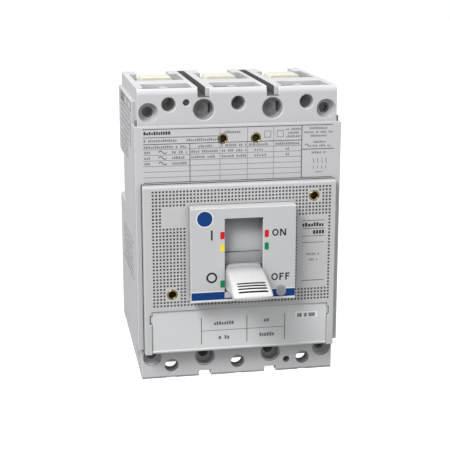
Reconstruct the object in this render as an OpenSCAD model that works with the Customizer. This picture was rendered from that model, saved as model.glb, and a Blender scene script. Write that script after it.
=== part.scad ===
// Three-pole molded case circuit breaker with toggle handle, drawn OFF.
// X runs across the poles with the left one at -X, and +Z points to the line side.
// The rear mounting face is the plane Y = 0 and the front faces -Y.
// Depth means -Y, counted forward from the rear face; height means Z.

/* [Case] */
// Width of the case at its widest belt
case_w = 90; // [90:0.5:92]
// Width of the terminal ends
end_w = 87; // [86.5:0.5:88]
// Height of the case
case_h = 130; // [130:0.5:132]
// Distance between neighbouring poles
pole_pitch = 30; // [30:0.1:30.2]
// Depth of the base, up to the parting line
base_d = 60; // [60:0.1:60.2]
// Depth to the terminal-end front wall
end_d = 69; // [69:0.1:69.2]
// Depth to the label plane
label_d = 71.2; // [71:0.1:71.4]
// Depth to the accessory cover's face
acc_d = 75.4; // [75.3:0.1:75.6]
// Depth to the handle mask's face
mask_d = 82.5; // [82.4:0.1:82.8]

/* [Fixing] */
// Radius of the panel mounting holes
mount_r = 2.3; // [2.1:0.05:2.4]
// Half of the vertical mounting pitch
mount_z = 55.5; // [55.4:0.1:55.6]
// Radius of the screwdriver access holes
access_r = 3.0; // [2.8:0.1:3.2]

/* [Motion] */
// Toggle lean below the centre line when off, degrees
toggle_lean = 16.2; // [16:0.1:16.4]
// Swing of the contact arms between open and closed, degrees
arm_swing = 28; // [27.9:0.1:28.1]

/* [Hidden] */
$fn = 48;
sides = [1, -1]; // right and left, or top and bottom
pole_x = [-pole_pitch, 0, pole_pitch];
half_w = case_w/2;
half_end_w = end_w/2;
half_h = case_h/2;
base_bottom = -64.7; // lower edge at the parting line
edge_r = 3; // rounding of the front upper edge

// Places on the front, as [x, height]
line_z = 57.9;
load_z = -58.6;
load_access_z = -59.1;
terminals = [for (x = pole_x, z = [line_z, load_z]) [x, z]];
mount_x = 15;
mount_holes = [for (x = mount_x*sides, z = mount_z*sides) [x, z]];
case_screw_places = [for (x = 38.7*sides, z = 54.6*sides) [x, z]];
label_screw_places = [for (s = sides) [s*7.25, 43.1]];
acc_screw_places = [[32.5, 17.6], [-30.2, -24.1]];
blind_holes = [[-22.5, 58.6], [22.5, -59.6]];
button_at = [16.4, -22.5];
barrier_x = [14.2, -15.8];

// Handle mask outline and the gap around it
mask_half_w = 22.65;
mask_z = [-25.3, 15.45];
mask_gap = 0.07;

// Axes parallel to X, as [depth, height]
cross_axis = [26, -12];
toggle_axis = [48, -6.2];
trip_axis = [46, -24];
cradle_axis = [52, 12];
latch_axis = [54, -15];
armature_axis = [37.8, -30.5];
frame_rod_axes = [latch_axis, [57, 13], [12, 9]];
spring_axis = toggle_axis + 16*[cos(-toggle_lean), sin(-toggle_lean)];

// The knee lies where the upper and lower links meet
link_axis = [46, 6];
upper_len = 9;
lower_len = 8.8;
drive_radius = 11;
drive_axis = cross_axis + drive_radius*[cos(40), sin(40)];
link_span = drive_axis - link_axis;
span_len = norm(link_span);
knee_angle = atan2(link_span[1], link_span[0])
  + acos((upper_len*upper_len + span_len*span_len - lower_len*lower_len)/(2*upper_len*span_len));
knee_axis = link_axis + upper_len*[cos(knee_angle), sin(knee_angle)];

crossbar_r = 5.0;
trip_bar_r = 2.5;
bearing_gap = 0.05;
arm_pin_r = 1.5;
bar_depths = [27, 29.5]; // terminal bars of the conductors

copper = [0.72, 0.45, 0.3];
contact_silver = [0.85, 0.85, 0.83];
brass = [0.75, 0.62, 0.32];
cover_grey = [0.82, 0.82, 0.83];
rod_steel = [0.72, 0.73, 0.75];
link_steel = [0.66, 0.67, 0.69];
pin_steel = [0.7, 0.7, 0.72];
spring_steel = [0.75, 0.76, 0.78];

// ---------- helpers ----------
// Ranges are [start, end]; those in x and height may run either way.
function about(centre, half) = [centre-half, centre+half];
function shift(by, points) = [for (p = points) by + p];
function rect(depths, heights) = [[depths[0], heights[0]], [depths[1], heights[0]],
  [depths[1], heights[1]], [depths[0], heights[1]]];
function polar(radius, angle) = radius*[cos(angle), sin(angle)];

module box(xs, depths, heights) {
  translate([min(xs), -depths[1], min(heights)])
    cube([abs(xs[1]-xs[0]), depths[1]-depths[0], abs(heights[1]-heights[0])]);
}
// [depth, height] outline extruded across X
module profile(points, xs) {
  translate([min(xs), 0, 0]) rotate([90, 0, 90]) linear_extrude(abs(xs[1]-xs[0]))
    polygon([for (p = points) [-p[0], p[1]]]);
}
// [x, height] outline extruded along depth
module plate(points, depths) {
  translate([0, -depths[0], 0]) rotate([90, 0, 0])
    linear_extrude(depths[1]-depths[0]) polygon(points);
}
// cylinder along X at [depth, height]
module rod_x(at, radius, xs) {
  translate([min(xs), -at[0], at[1]]) rotate([0, 90, 0])
    cylinder(h = abs(xs[1]-xs[0]), r = radius);
}
// cylinder along depth at [x, height]
module rod_y(at, radius, depths) {
  translate([at[0], -depths[0], at[1]]) rotate([90, 0, 0])
    cylinder(h = depths[1]-depths[0], r = radius);
}
// cone along depth, radii at its rear and front ends
module cone_y(at, radii, depths) {
  translate([at[0], -depths[0], at[1]]) rotate([90, 0, 0])
    cylinder(h = depths[1]-depths[0], r1 = radii[0], r2 = radii[1]);
}
module hex_y(at, radius, depths) {
  rod_y(at, radius, depths, $fn = 6);
}
// turn about a line along X; positive lowers the front end
module turn(at, angle) {
  translate([0, -at[0], at[1]]) rotate([angle, 0, 0]) translate([0, at[0], -at[1]]) children();
}
// sector of a ring about a line along X, angles above the forward direction
module ring(at, radii, angles, xs, steps) {
  step = (angles[1]-angles[0])/steps;
  profile(shift(at, concat(
    [for (i = [0:steps]) polar(radii[1], angles[0]+step*i)],
    [for (i = [steps:-1:0]) polar(radii[0], angles[0]+step*i)])), xs);
}
// helical wire along +Z from the origin
module coil(radius, wire_r, turns, height) {
  steps = 12; // per turn
  facets = 5; // around the wire
  total = steps*turns;
  points = [for (i = [0:total]) for (j = [0:facets-1])
    let (along = 360*i/steps, round = 360*j/facets, reach = radius + wire_r*cos(round))
    [reach*cos(along), reach*sin(along), height*i/total + wire_r*sin(round)]];
  polyhedron(points = points, faces = concat(
    [[for (j = [0:facets-1]) j]],
    [[for (j = [facets-1:-1:0]) total*facets + j]],
    [for (i = [0:total-1]) for (j = [0:facets-1]) let (k = (j+1)%facets)
      [i*facets+j, (i+1)*facets+j, (i+1)*facets+k]],
    [for (i = [0:total-1]) for (j = [0:facets-1]) let (k = (j+1)%facets)
      [i*facets+j, (i+1)*facets+k, i*facets+k]]), convexity = 6);
}

// ---------- case ----------
module rear_housing() {
  open = base_d+1; // cuts run past the parting line
  color([0.78, 0.78, 0.79]) difference() {
    union() {
      difference() {
        union() {
          profile([[0, half_h], [base_d, half_h], [base_d, base_bottom], [0, -61.8]],
            about(0, half_end_w));
          box(about(0, half_w), [0, base_d], [-55.7, 58.7]);
        }
        // pole chambers
        for (x = pole_x) box(about(x, 12.4), [3, open], about(0, 43));
        // terminal pockets, bus slots and cable notches
        for (x = pole_x, s = sides) {
          box(about(x, 11), [13, 40], s*[46, 70]);
          box(about(x, 7.6), [3.5, 13.1], s*[46, 70]);
          box(about(x, 7.6), [-1, 4], [s > 0 ? 59.5 : -57.5, s*70]);
          box(about(x, 7.2), [26.8, 29.7], s*[42, 47]);
          box(about(x, 10.4), [51, open], s*[48, 70]);
        }
        // phase barrier slots
        for (x = barrier_x, heights = [[61, 70], [-70, -62]])
          box(about(x, 1.6), [4, open], heights);
      }
      // corner screw bosses
      for (at = case_screw_places) rod_y(at, 3.4, [50, base_d]);
    }
    // screwdriver passages through the bridges
    for (at = terminals) rod_y(at, 3.4, [39, 52]);
    // panel mounting holes and corner screw holes
    for (at = mount_holes) rod_y(at, mount_r, [-1, open]);
    for (at = case_screw_places) rod_y(at, 1.5, [41, open]);
    // bearing slots for the crossbar and the trip bar
    for (bearing = [[cross_axis, crossbar_r], [trip_axis, trip_bar_r]]) {
      axis = bearing[0];
      radius = bearing[1] + bearing_gap;
      box(about(0, 18), [axis[0], open], about(axis[1], radius));
      rod_x(axis, radius, about(0, 18));
    }
    // relief in the partitions for the push rod
    box([12, 18], [55, open], [-27, -16]);
    // side grooves at the rear edge
    for (s = sides)
      profile([[-1, 6.5], [22, 6.5], [24, 9], [24, 25.5], [22, 28], [1, 28], [-1, 30]],
        s*[43.3, 46]);
    // rear relief panels between the mounting pads
    for (s = sides, z = [-46, 24]) box(s*[18, 40], [-1, 0.8], [z, z+22]);
    for (heights = [[24, 50], [-50, -20]]) box(about(0, 12), [-1, 0.8], heights);
    // rail clip slots
    for (s = sides) box(about(s*31, 2), [-1, 2], [-14, -4]);
  }
}

module front_cover() {
  open = end_d+1; // cuts run past the end wall
  boss_top = end_d-0.5;
  color([0.8, 0.8, 0.81]) difference() {
    union() {
      difference() {
        union() {
          // terminal ends with a rounded front upper edge
          profile(concat([[base_d, half_h]],
            [for (i = [0:8]) [end_d-edge_r+edge_r*sin(i*11.25),
              half_h-edge_r+edge_r*cos(i*11.25)]],
            [[end_d, -half_h+0.5], [end_d-0.5, -half_h+0.1], [base_d, base_bottom]]),
            about(0, half_end_w));
          box(about(0, half_w), [base_d, label_d], [-50.2, 49]);
        }
        // terminal front pockets
        for (x = pole_x, s = sides) box(about(x, 10.4), [base_d-1, 67], s*[48, 70]);
        // recess for the accessory cover and the hollow behind the label plane
        box(about(0, 42.6), [62.5, label_d+1], [-51.5, 24.3]);
        box(about(0, 42), [base_d-1, 68.8], [27, 46.5]);
        // mechanism opening
        box(about(0, 13), [base_d-1, 63], [-33, 22]);
        // barrier slots and notches in the front edge
        for (x = barrier_x) box(about(x, 1.6), [base_d-1, open], [61, 70]);
        for (s = sides) {
          box(about(s*15, 2.6), [67.4, open], [61, 70]);
          box(about(s*15, 2.6), [base_d-1, open], [-70, -62.4]);
        }
        // shallow arches in the lower edge
        for (x = pole_x) rod_y([x-0.3, -72.2], 7.7, [66.8, open]);
      }
      // screwdriver tubes, mounting posts, corner bosses
      for (x = pole_x) rod_y([x, line_z], 5.75, [51.3, boss_top]);
      for (at = mount_holes) rod_y(at, 5.6, [base_d, boss_top]);
      for (at = case_screw_places) rod_y(at, 4.6, [base_d, boss_top]);
      // bosses around the lower access holes and the two blind holes
      for (x = pole_x) rod_y([x, load_access_z], 4.3, [61.5, boss_top]);
      for (at = blind_holes) rod_y(at, 2.6, [63, boss_top]);
    }
    for (x = pole_x) {
      rod_y([x, line_z], access_r, [50, open]);
      rod_y([x, load_access_z], access_r, [60, open]);
    }
    for (at = blind_holes) rod_y(at, 1.45, [64, open]);
    for (at = mount_holes) {
      rod_y(at, mount_r, [base_d-1, open]);
      rod_y(at, 4.1, [63.4, open]);
      rod_y(at, 4.45, [67.6, open]);
      // relief slot in the counterbore's floor
      box([at[0]+2.7, at[0]+3.4], [62.2, 64], about(at[1], 2.0));
    }
    // stepped and tapered seats of the corner screws
    for (at = case_screw_places) {
      rod_y(at, 1.6, [base_d-1, open]);
      rod_y(at, 4.2, [67.4, open]);
      rod_y(at, 2.35, [62.9, 66]);
      cone_y(at, [2.7, 4.15], [65.0, 67.5]);
    }
    // seats of the label-plane screws
    for (at = label_screw_places) rod_y(at, 2.3, [label_d-5, label_d+1]);
    // seats of the accessory cover screws in the recess floor
    for (at = acc_screw_places) rod_y(at, 1.2, [58, 64]);
    // clip slots in the flanks
    for (s = sides) box(s*[43.5, 46], [69.5, 70.8], [30.8, 33.4]);
  }
}

// removable cover over the accessory pockets, with two guide rails
module accessory_cover() {
  color(cover_grey) difference() {
    union() {
      difference() {
        profile([[62.6, 24.1], [74.2, 24.1], [75.1, 23.7], [acc_d, 22.8], [acc_d, -31.6],
          [62.6, -31.6]], about(0, 42.4));
        difference() {
          box(about(0, 40.4), [60, 73.4], [-30.6, 22.1]);
          // posts for the two brass screws
          for (at = acc_screw_places) rod_y(at, 3.4, [62, 74]);
        }
      }
      for (s = sides) box(s*[39.3, 42.4], [70, acc_d], [-51.3, -30]);
    }
    // opening for the handle mask, with a thinned edge over the shield
    box(about(0, 11), [60, 74.7], [-29, 0]);
    box(about(0, mask_half_w+mask_gap), [60, acc_d+1], mask_z + mask_gap*[-1, 1]);
    // screw seats
    for (at = acc_screw_places) {
      rod_y(at, 2.35, [66, acc_d+1]);
      rod_y(at, 1.3, [60, 70]);
    }
    // notches for the rating panel's clips
    for (s = sides) box(about(s*39.3, 0.9), [69, acc_d+1], [-37.2, -33.2]);
  }
}

// raised mask around the toggle window
module handle_mask() {
  color([0.74, 0.76, 0.79]) difference() {
    box(about(0, mask_half_w), [62.5, mask_d], mask_z);
    box(about(0, 20.6), [60, 80.7], [-23.3, 13.4]);
    box(about(0, 8.35), [74, mask_d+1], [-24.4, 10.6]);
    // passages for the sliding shields behind the face
    box(about(0, 10.9), [60, 75.3], [-30, 20]);
    // trip button hole
    rod_y(button_at, 3.4, [60, 80.7]);
    rod_y(button_at, 2.35, [75, mask_d+1]);
  }
}

// lower snap-in panel with the rating window
module rating_panel() {
  color(cover_grey) difference() {
    union() {
      box(about(0, 39.2), [72.8, 74.8], [-49.6, -31.7]);
      profile([[72.8, -49.4], [75.2, -49.6], [75.4, -50], [75.1, -50.8], [72.8, -51.1]],
        about(0, 39.2));
      for (s = sides) box(s*[38.5, 40.0], [73, 74.6], [-36.9, -33.5]);
      // feet down to the recess floor
      for (x = [-30, 0, 30]) box(about(x, 3), [62.5, 73], [-46, -44]);
    }
    box([24.8, 35.4], [74.6, 75], [-38.4, -35]);
  }
}

// screw whose head has a round hollow in its face; head is its depth range
module hollow_screw(at, head_r, head, shank_r, shank_start) {
  difference() {
    union() {
      rod_y(at, head_r, head);
      rod_y(at, shank_r, [shank_start, head[0]+0.05]);
    }
    rod_y(at, head_r*0.76, [head[1]-2.2, head[1]+1]);
  }
}
module cover_screws() {
  color(brass) for (at = label_screw_places)
    hollow_screw(at, 2.25, [label_d-4.9, label_d-0.05], 1.0, label_d-4.95);
}
module accessory_screws() {
  color(brass) for (at = acc_screw_places)
    hollow_screw(at, 2.3, [70.05, acc_d-0.05], 1.15, 60.5);
}
module case_screws() {
  color([0.55, 0.56, 0.58]) for (at = case_screw_places) difference() {
    union() {
      rod_y(at, 2.25, [62.95, 64.9]);
      rod_y(at, 1.45, [43, 63]);
    }
    hex_y(at, 1.45, [63.3, 66]);
  }
}

// ---------- current path ----------
// line conductor with its blow-off loop; the bar's lug end has a clearance hole
module line_conductor(x) {
  color(copper) difference() {
    union() {
      box(about(x, 7), bar_depths, [38, 62.3]);
      box(about(x, 7), [8, bar_depths[1]], [38, 40.5]);
      box(about(x, 7), [8, 10.5], [12, 40.5]);
      box(about(x, 5), [8, 18.5], [12, 14.5]);
      box(about(x, 4.2), [16, 18.5], [12, 26]);
    }
    rod_y([x, line_z], 2.3, [20, 35]);
  }
}
module load_conductor(x) {
  color(copper) difference() {
    box(about(x, 6), bar_depths, [-62.4, -25.5]);
    rod_y([x, load_z], 2.3, [20, 35]);
  }
}
module line_conductor_left() { line_conductor(pole_x[0]); }
module line_conductor_centre() { line_conductor(pole_x[1]); }
module line_conductor_right() { line_conductor(pole_x[2]); }
module load_conductor_left() { load_conductor(pole_x[0]); }
module load_conductor_centre() { load_conductor(pole_x[1]); }
module load_conductor_right() { load_conductor(pole_x[2]); }

module fixed_contacts() {
  color(contact_silver) for (x = pole_x) box(about(x, 4), [18.5, 20.3], [19, 25]);
}
module moving_contacts() {
  color(contact_silver) turn(cross_axis, arm_swing)
    for (x = pole_x) box(about(x, 2.5), [20.5, 22.2], [19.2, 24.8]);
}
module contact_arm(x) {
  color(copper) turn(cross_axis, arm_swing) difference() {
    profile([[22.2, 25], [22.2, 0], [22.6, -16.4], [28.6, -16.4], [28.9, -8], [28, 0],
      [26.4, 25]], about(x, 2.5));
    rod_x(cross_axis, arm_pin_r+0.03, about(x, 3));
  }
}
module contact_arm_left() { contact_arm(pole_x[0]); }
module contact_arm_centre() { contact_arm(pole_x[1]); }
module contact_arm_right() { contact_arm(pole_x[2]); }

// insulating shaft that carries the three arms
module crossbar() {
  color([0.16, 0.16, 0.17]) turn(cross_axis, arm_swing) difference() {
    union() {
      rod_x(cross_axis, crossbar_r, about(0, 35));
      for (x = pole_x) rod_x(cross_axis, 6.5, about(x, 9));
      rod_x(cross_axis, 3.0, about(0, 42.1));
      // ears for the drive pin beside the centre arm
      for (s = sides) turn(cross_axis, -arm_swing)
        profile([cross_axis+[0, 5], drive_axis+[-1.5, 2.6], drive_axis+[2.6, 1.2],
          drive_axis+[2.2, -2.2], cross_axis+[5, -1]], s*[5.0, 6.4]);
    }
    // openings for the arms
    for (x = pole_x) box(about(x, 6.2), [19, 30.6], [-19, -5]);
    for (x = pole_x) box(about(x, 2.8), [14, 30.6], [-19, -5]);
    box(about(0, 4.95), [30.4, 40], [-8.5, 5]);
    // pin bores
    for (x = pole_x) rod_x(cross_axis, arm_pin_r+0.03, about(x, 8.7));
    turn(cross_axis, -arm_swing) rod_x(drive_axis, 1.23, about(0, 7));
  }
}
module arm_pins() {
  color(pin_steel) for (x = pole_x) rod_x(cross_axis, arm_pin_r, about(x, 8.6));
}
module contact_springs() {
  color(spring_steel) for (x = pole_x, start = [3.3, -5.6])
    translate([x+start, -cross_axis[0], cross_axis[1]]) rotate([0, 90, 0])
      coil(2.3, 0.35, 3, 2.3);
}

// ---------- arc chutes ----------
// plate outline with its notch toward the load side, [x from the pole, height]
arc_plate_outline = [[-11.2, 17.5], [-7, 17.5], [-5.4, 22], [-4.2, 27.5], [4.2, 27.5],
  [5.4, 22], [7, 17.5], [11.2, 17.5], [11.2, 36.6], [-11.2, 36.6]];
module arc_plates(x) {
  color([0.6, 0.61, 0.63]) for (depth = [13 : 4.4 : 49])
    plate(shift([x, 0], arc_plate_outline), [depth, depth+1]);
}
module arc_frame(x) {
  color([0.82, 0.75, 0.6]) for (s = sides)
    box([x+s*11.4, x+s*12.2], [11.5, 50.5], [17, 37.2]);
}
module arc_plates_left() { arc_plates(pole_x[0]); }
module arc_plates_centre() { arc_plates(pole_x[1]); }
module arc_plates_right() { arc_plates(pole_x[2]); }
module arc_frame_left() { arc_frame(pole_x[0]); }
module arc_frame_centre() { arc_frame(pole_x[1]); }
module arc_frame_right() { arc_frame(pole_x[2]); }

// ---------- terminals ----------
// block with chamfered outer corners; tip is the height of its outer edge
module nut_holder(x, z, tip) {
  s = sign(z);
  difference() {
    plate([[x-9, s*46.6], [x+9, s*46.6], [x+9, tip-s*4.5], [x+6.5, tip], [x-6.5, tip],
      [x-9, tip-s*4.5]], [13.1, 26.95]);
    hex_y([x, z], 4.15, [22, 28]);
    rod_y([x, z], 2.4, [17, 23]);
  }
}
module line_nut_holders() {
  color([0.92, 0.92, 0.82]) for (x = pole_x) nut_holder(x, line_z, 64.8);
}
module load_nut_holders() {
  color([0.92, 0.92, 0.82]) for (x = pole_x) nut_holder(x, load_z, -62.5);
}
module terminal_nuts() {
  color([0.7, 0.71, 0.73]) for (at = terminals) difference() {
    hex_y(at, 4.0, [22.3, 26.9]);
    rod_y(at, 2.05, [20, 28]);
  }
}
// cheese-head screws with hexagonal sockets
module terminal_screws() {
  color([0.78, 0.79, 0.8]) for (at = terminals) difference() {
    union() {
      rod_y(at, 2.0, [19, 30.75]);
      rod_y(at, 4.1, [30.72, 35]);
    }
    hex_y(at, 2.1, [32, 36]);
  }
}
module terminal_washers() {
  color([0.74, 0.75, 0.77]) for (at = terminals) difference() {
    box(about(at[0], 4.3), [29.52, 30.7], about(at[1], 4.2));
    rod_y(at, 2.1, [29, 31]);
  }
}

// ---------- trip unit ----------
module bimetal(x) {
  color([0.66, 0.62, 0.55]) union() {
    box([x-2.5, x+5.5], [31, 32], [-41.5, -23.5]);
    box(about(x, 2.5), [29.55, 31.2], [-41.5, -38]);
  }
}
module bimetal_left() { bimetal(pole_x[0]); }
module bimetal_centre() { bimetal(pole_x[1]); }
module bimetal_right() { bimetal(pole_x[2]); }
module calibration_screws() {
  color([0.72, 0.6, 0.35]) for (x = pole_x) {
    rod_y([x+4, -26.5], 0.9, [32.05, 39.0]);
    rod_y([x+4, -26.5], 1.5, [32.05, 33.4]);
  }
}
module magnet_yokes() {
  color([0.5, 0.51, 0.53]) for (x = pole_x) difference() {
    box(about(x, 9.6), [23.5, 35], [-41.5, -31.8]);
    box(about(x, 7.2), [25.6, 36], [-43, -30]);
  }
}
// hinged armature: plate below its pin, trip finger above
module armature(x) {
  finger = [x-7.4, x-1.0];
  color([0.58, 0.59, 0.6]) difference() {
    union() {
      profile(rect([37.0, 38.4], [-41.2, -32]), about(x, 9.2));
      rod_x(armature_axis, 1.8, finger);
      profile([[37.1, -32.5], [38.4, -32.5], [38.5, -30], [38.4, -25.2], [37.1, -25.2]], finger);
    }
    rod_x(armature_axis, 1.05, [x-9, x+1]);
  }
}
module armature_left() { armature(pole_x[0]); }
module armature_centre() { armature(pole_x[1]); }
module armature_right() { armature(pole_x[2]); }
module armature_pins() {
  color(pin_steel) for (x = pole_x) rod_x(armature_axis, 1.0, [x-12.3, x-0.6]);
}
// woven strap from each arm's heel to the load conductor
module flexible_braids() {
  color([0.74, 0.5, 0.34]) for (x = pole_x)
    profile([[26.95, -31.4], [25.2, -31.4], [24.2, -30], [23, -27], [22.6, -23],
      [23.4, -20.4], [24.8, -20], [24.6, -22.6], [25, -26], [25.9, -29], [26.95, -30.4]],
      about(x, 4));
}
module trip_bar() {
  color([0.14, 0.14, 0.15]) union() {
    rod_x(trip_axis, trip_bar_r, about(0, 40));
    for (x = pole_x) {
      rod_x(trip_axis, 3.2, about(x, 10));
      profile([[40.2, -30.5], [41.6, -30.5], [41.6, -25.5], [46, -25.5], [46, -22.5],
        [40.2, -22.5]], [x-7, x+6.5]);
    }
    // lever for the push rod
    profile(rect([44.9, 47.3], [-24, -17.6]), [5.5, 7.5]);
  }
}

// ---------- operating mechanism ----------
// two side plates, each with a foot toward the rear
module mechanism_frame() {
  color(link_steel) for (s = sides) {
    wall = s*[10.8, 12];
    through = s*[10, 13];
    slot_r = crossbar_r+0.3;
    difference() {
      union() {
        profile(rect([20, 59], [-20, 16]), wall);
        profile(rect([3.2, 21], [4, 14]), wall);
      }
      rod_x(cross_axis, slot_r, through);
      box(through, [19, cross_axis[0]], about(cross_axis[1], slot_r));
      rod_x(toggle_axis, 2.0, through);
      rod_x(cradle_axis, 1.5, through);
      for (axis = frame_rod_axes) rod_x(axis, 1.2, through);
      rod_x([34, 8], 3, through);
    }
  }
}
module frame_rods() {
  color(rod_steel) for (axis = frame_rod_axes) rod_x(axis, 1.18, about(0, 12.2));
}
module toggle_pins() {
  color(rod_steel) for (s = sides) rod_x(toggle_axis, 1.95, s*[8.2, 12.2]);
}

// paddle side outline, [distance forward of the toggle axis, height above it]
paddle_outline = [[31.2, -6.1], [34.4, -6.1], [56.3, 2.0], [57.4, 3.0], [57.9, 4.7],
  [56.8, 6.1], [54.8, 6.85], [52, 7.15], [49, 7.25], [44.8, 7.1], [38.7, 6.4], [33.7, 5.4],
  [31.2, 5.1]];
// paddle front taper, distance from the toggle axis against x
module paddle_plan() {
  linear_extrude(60, center = true) polygon([[28, -8.1], [60, -8.5], [60, 8.5], [28, 8.1]]);
}
// white toggle: side legs, neck, curved shield and flared paddle
module toggle() {
  color([0.95, 0.95, 0.96]) turn(toggle_axis, toggle_lean) difference() {
    union() {
      // side legs on the pivots
      for (s = sides) {
        rod_x(toggle_axis, 4.5, s*[8.3, 9.4]);
        profile(shift(toggle_axis, [[0, -4], [22, -3.6], [22, 3.6], [0, 4]]), s*[8.3, 9.4]);
      }
      // base block and neck
      profile(shift(toggle_axis, rect([19.5, 24], [-4.2, 4.2])), about(0, 9.4));
      profile(shift(toggle_axis, rect([23, 31.5], [-3.4, 1.0])), about(0, 7.4));
      // curved shield
      ring(toggle_axis, [30.7, 31.8], [-24, 18.3], about(0, 9.5), 24);
      // paddle
      intersection() {
        profile(shift(toggle_axis, paddle_outline), about(0, 10));
        translate([0, -toggle_axis[0], toggle_axis[1]]) rotate([0, 0, -90]) paddle_plan();
      }
    }
    rod_x(toggle_axis, 2.0, about(0, 10));
    rod_x(toggle_axis+[16, 0], 1.25, about(0, 10));
    // grip grooves on the upper face
    for (i = [0:3]) {
      depth = toggle_axis[0]+48.2+1.98*i;
      box(about(0, 5.9), [depth, depth+0.5], [toggle_axis[1]+6.4, toggle_axis[1]+8]);
    }
  }
}
module spring_bar() { color(rod_steel) rod_x(spring_axis, 1.22, about(0, 9.3)); }
// sliding shutter behind the toggle's shield
module shutter() {
  color([0.7, 0.72, 0.74]) turn(toggle_axis, toggle_lean/2) difference() {
    union() {
      ring(toggle_axis, [29.2, 30.2], [-43, 43], about(0, 10.4), 36);
      for (s = sides) {
        profile(shift(toggle_axis, [[0, -3], [29.6, -4.5], [29.6, 4.5], [0, 3]]),
          s*[9.7, 10.4]);
        rod_x(toggle_axis, 3.2, s*[9.7, 10.4]);
      }
    }
    ring(toggle_axis, [28, 31], [-15.6, 10.2], about(0, 7.8), 12);
    rod_x(toggle_axis, 2.0, about(0, 12));
  }
}
// pair of extension springs from the spring bar to the knee
module main_springs() {
  reach = knee_axis - spring_axis;
  color([0.76, 0.77, 0.79]) for (s = sides)
    translate([s*6.4, -spring_axis[0], spring_axis[1]])
      rotate([atan2(reach[0], reach[1]), 0, 0])
        translate([0, 0, 2.2]) coil(1.35, 0.32, 11, norm(reach)-4.6);
}
module cradle() {
  color([0.62, 0.63, 0.65]) difference() {
    profile([[53.8, 14.6], [50.4, 14.2], [44.4, 8], [44.3, 4], [46.2, -4], [47.4, -18],
      [48.2, -19], [51, -19], [51, -16.5], [50, -15], [49.8, -2], [50, 4], [53.9, 10.2]],
      about(0, 1.5));
    rod_x(cradle_axis, 1.53, about(0, 2));
    rod_x(link_axis, 1.2, about(0, 2));
  }
}
module cradle_pin() { color(rod_steel) rod_x(cradle_axis, 1.48, about(0, 12.2)); }
// round-ended link between two axes, with a bore radius for each end
module link(start, end, half, xs, bores) {
  along = end - start;
  offset_by = half*[-along[1], along[0]]/norm(along);
  through = [min(xs)-1, max(xs)+1];
  difference() {
    union() {
      profile([start+offset_by, end+offset_by, end-offset_by, start-offset_by], xs);
      rod_x(start, half, xs);
      rod_x(end, half, xs);
    }
    rod_x(start, bores[0], through);
    rod_x(end, bores[1], through);
  }
}
// upper links ride on the cradle by their own pin
module upper_links() {
  color(link_steel) union() {
    for (s = sides) link(link_axis, knee_axis, 2.3, s*[1.7, 2.9], [1.1, 1.02]);
    rod_x(link_axis, 1.16, about(0, 3.2));
  }
}
module knee_pin() { color(rod_steel) rod_x(knee_axis, 1.0, about(0, 7.9)); }
module lower_links() {
  color(link_steel) for (s = sides)
    link(drive_axis, knee_axis, 3.1, s*[3.2, 4.5], [1.25, 2.1]);
}
module drive_pin() { color(rod_steel) rod_x(drive_axis, 1.2, about(0, 6.4)); }
module latch_plate() {
  color([0.6, 0.61, 0.63]) difference() {
    union() {
      profile([[52.3, -20.6], [53.4, -20.6], [53.4, -17], [55.7, -16.4], [55.7, -13.4],
        [52.6, -13.4], [52.3, -16]], about(0, 4));
      profile(rect([50.2, 52.4], [-20.6, -19.4]), about(0, 2.5));
    }
    rod_x(latch_axis, 1.22, about(0, 5));
  }
}
// push-to-trip button, its rod, foot and finger
module trip_button() {
  color([0.85, 0.86, 0.87]) union() {
    rod_y(button_at, 2.28, [76, 83.1]);
    rod_y(button_at, 1.5, [66.6, 76.1]);
    box([5.5, 18.2], [66.5, 68], [-23.2, -18.4]);
    box([5.5, 7.5], [48.4, 66.6], [-20.6, -18.4]);
  }
}
module button_spring() {
  color(spring_steel) translate([button_at[0], -62.9, button_at[1]]) rotate([90, 0, 0])
    coil(1.15, 0.25, 4, 3.2);
}

rear_housing();
front_cover();
accessory_cover();
handle_mask();
rating_panel();
cover_screws();
accessory_screws();
case_screws();
line_conductor_left();
line_conductor_centre();
line_conductor_right();
load_conductor_left();
load_conductor_centre();
load_conductor_right();
fixed_contacts();
moving_contacts();
contact_arm_left();
contact_arm_centre();
contact_arm_right();
crossbar();
arm_pins();
contact_springs();
arc_plates_left();
arc_plates_centre();
arc_plates_right();
arc_frame_left();
arc_frame_centre();
arc_frame_right();
line_nut_holders();
load_nut_holders();
terminal_nuts();
terminal_screws();
terminal_washers();
bimetal_left();
bimetal_centre();
bimetal_right();
calibration_screws();
magnet_yokes();
armature_left();
armature_centre();
armature_right();
armature_pins();
flexible_braids();
mechanism_frame();
frame_rods();
toggle();
toggle_pins();
shutter();
spring_bar();
main_springs();
cradle();
cradle_pin();
upper_links();
knee_pin();
lower_links();
drive_pin();
latch_plate();
trip_bar();
trip_button();
button_spring();
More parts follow.
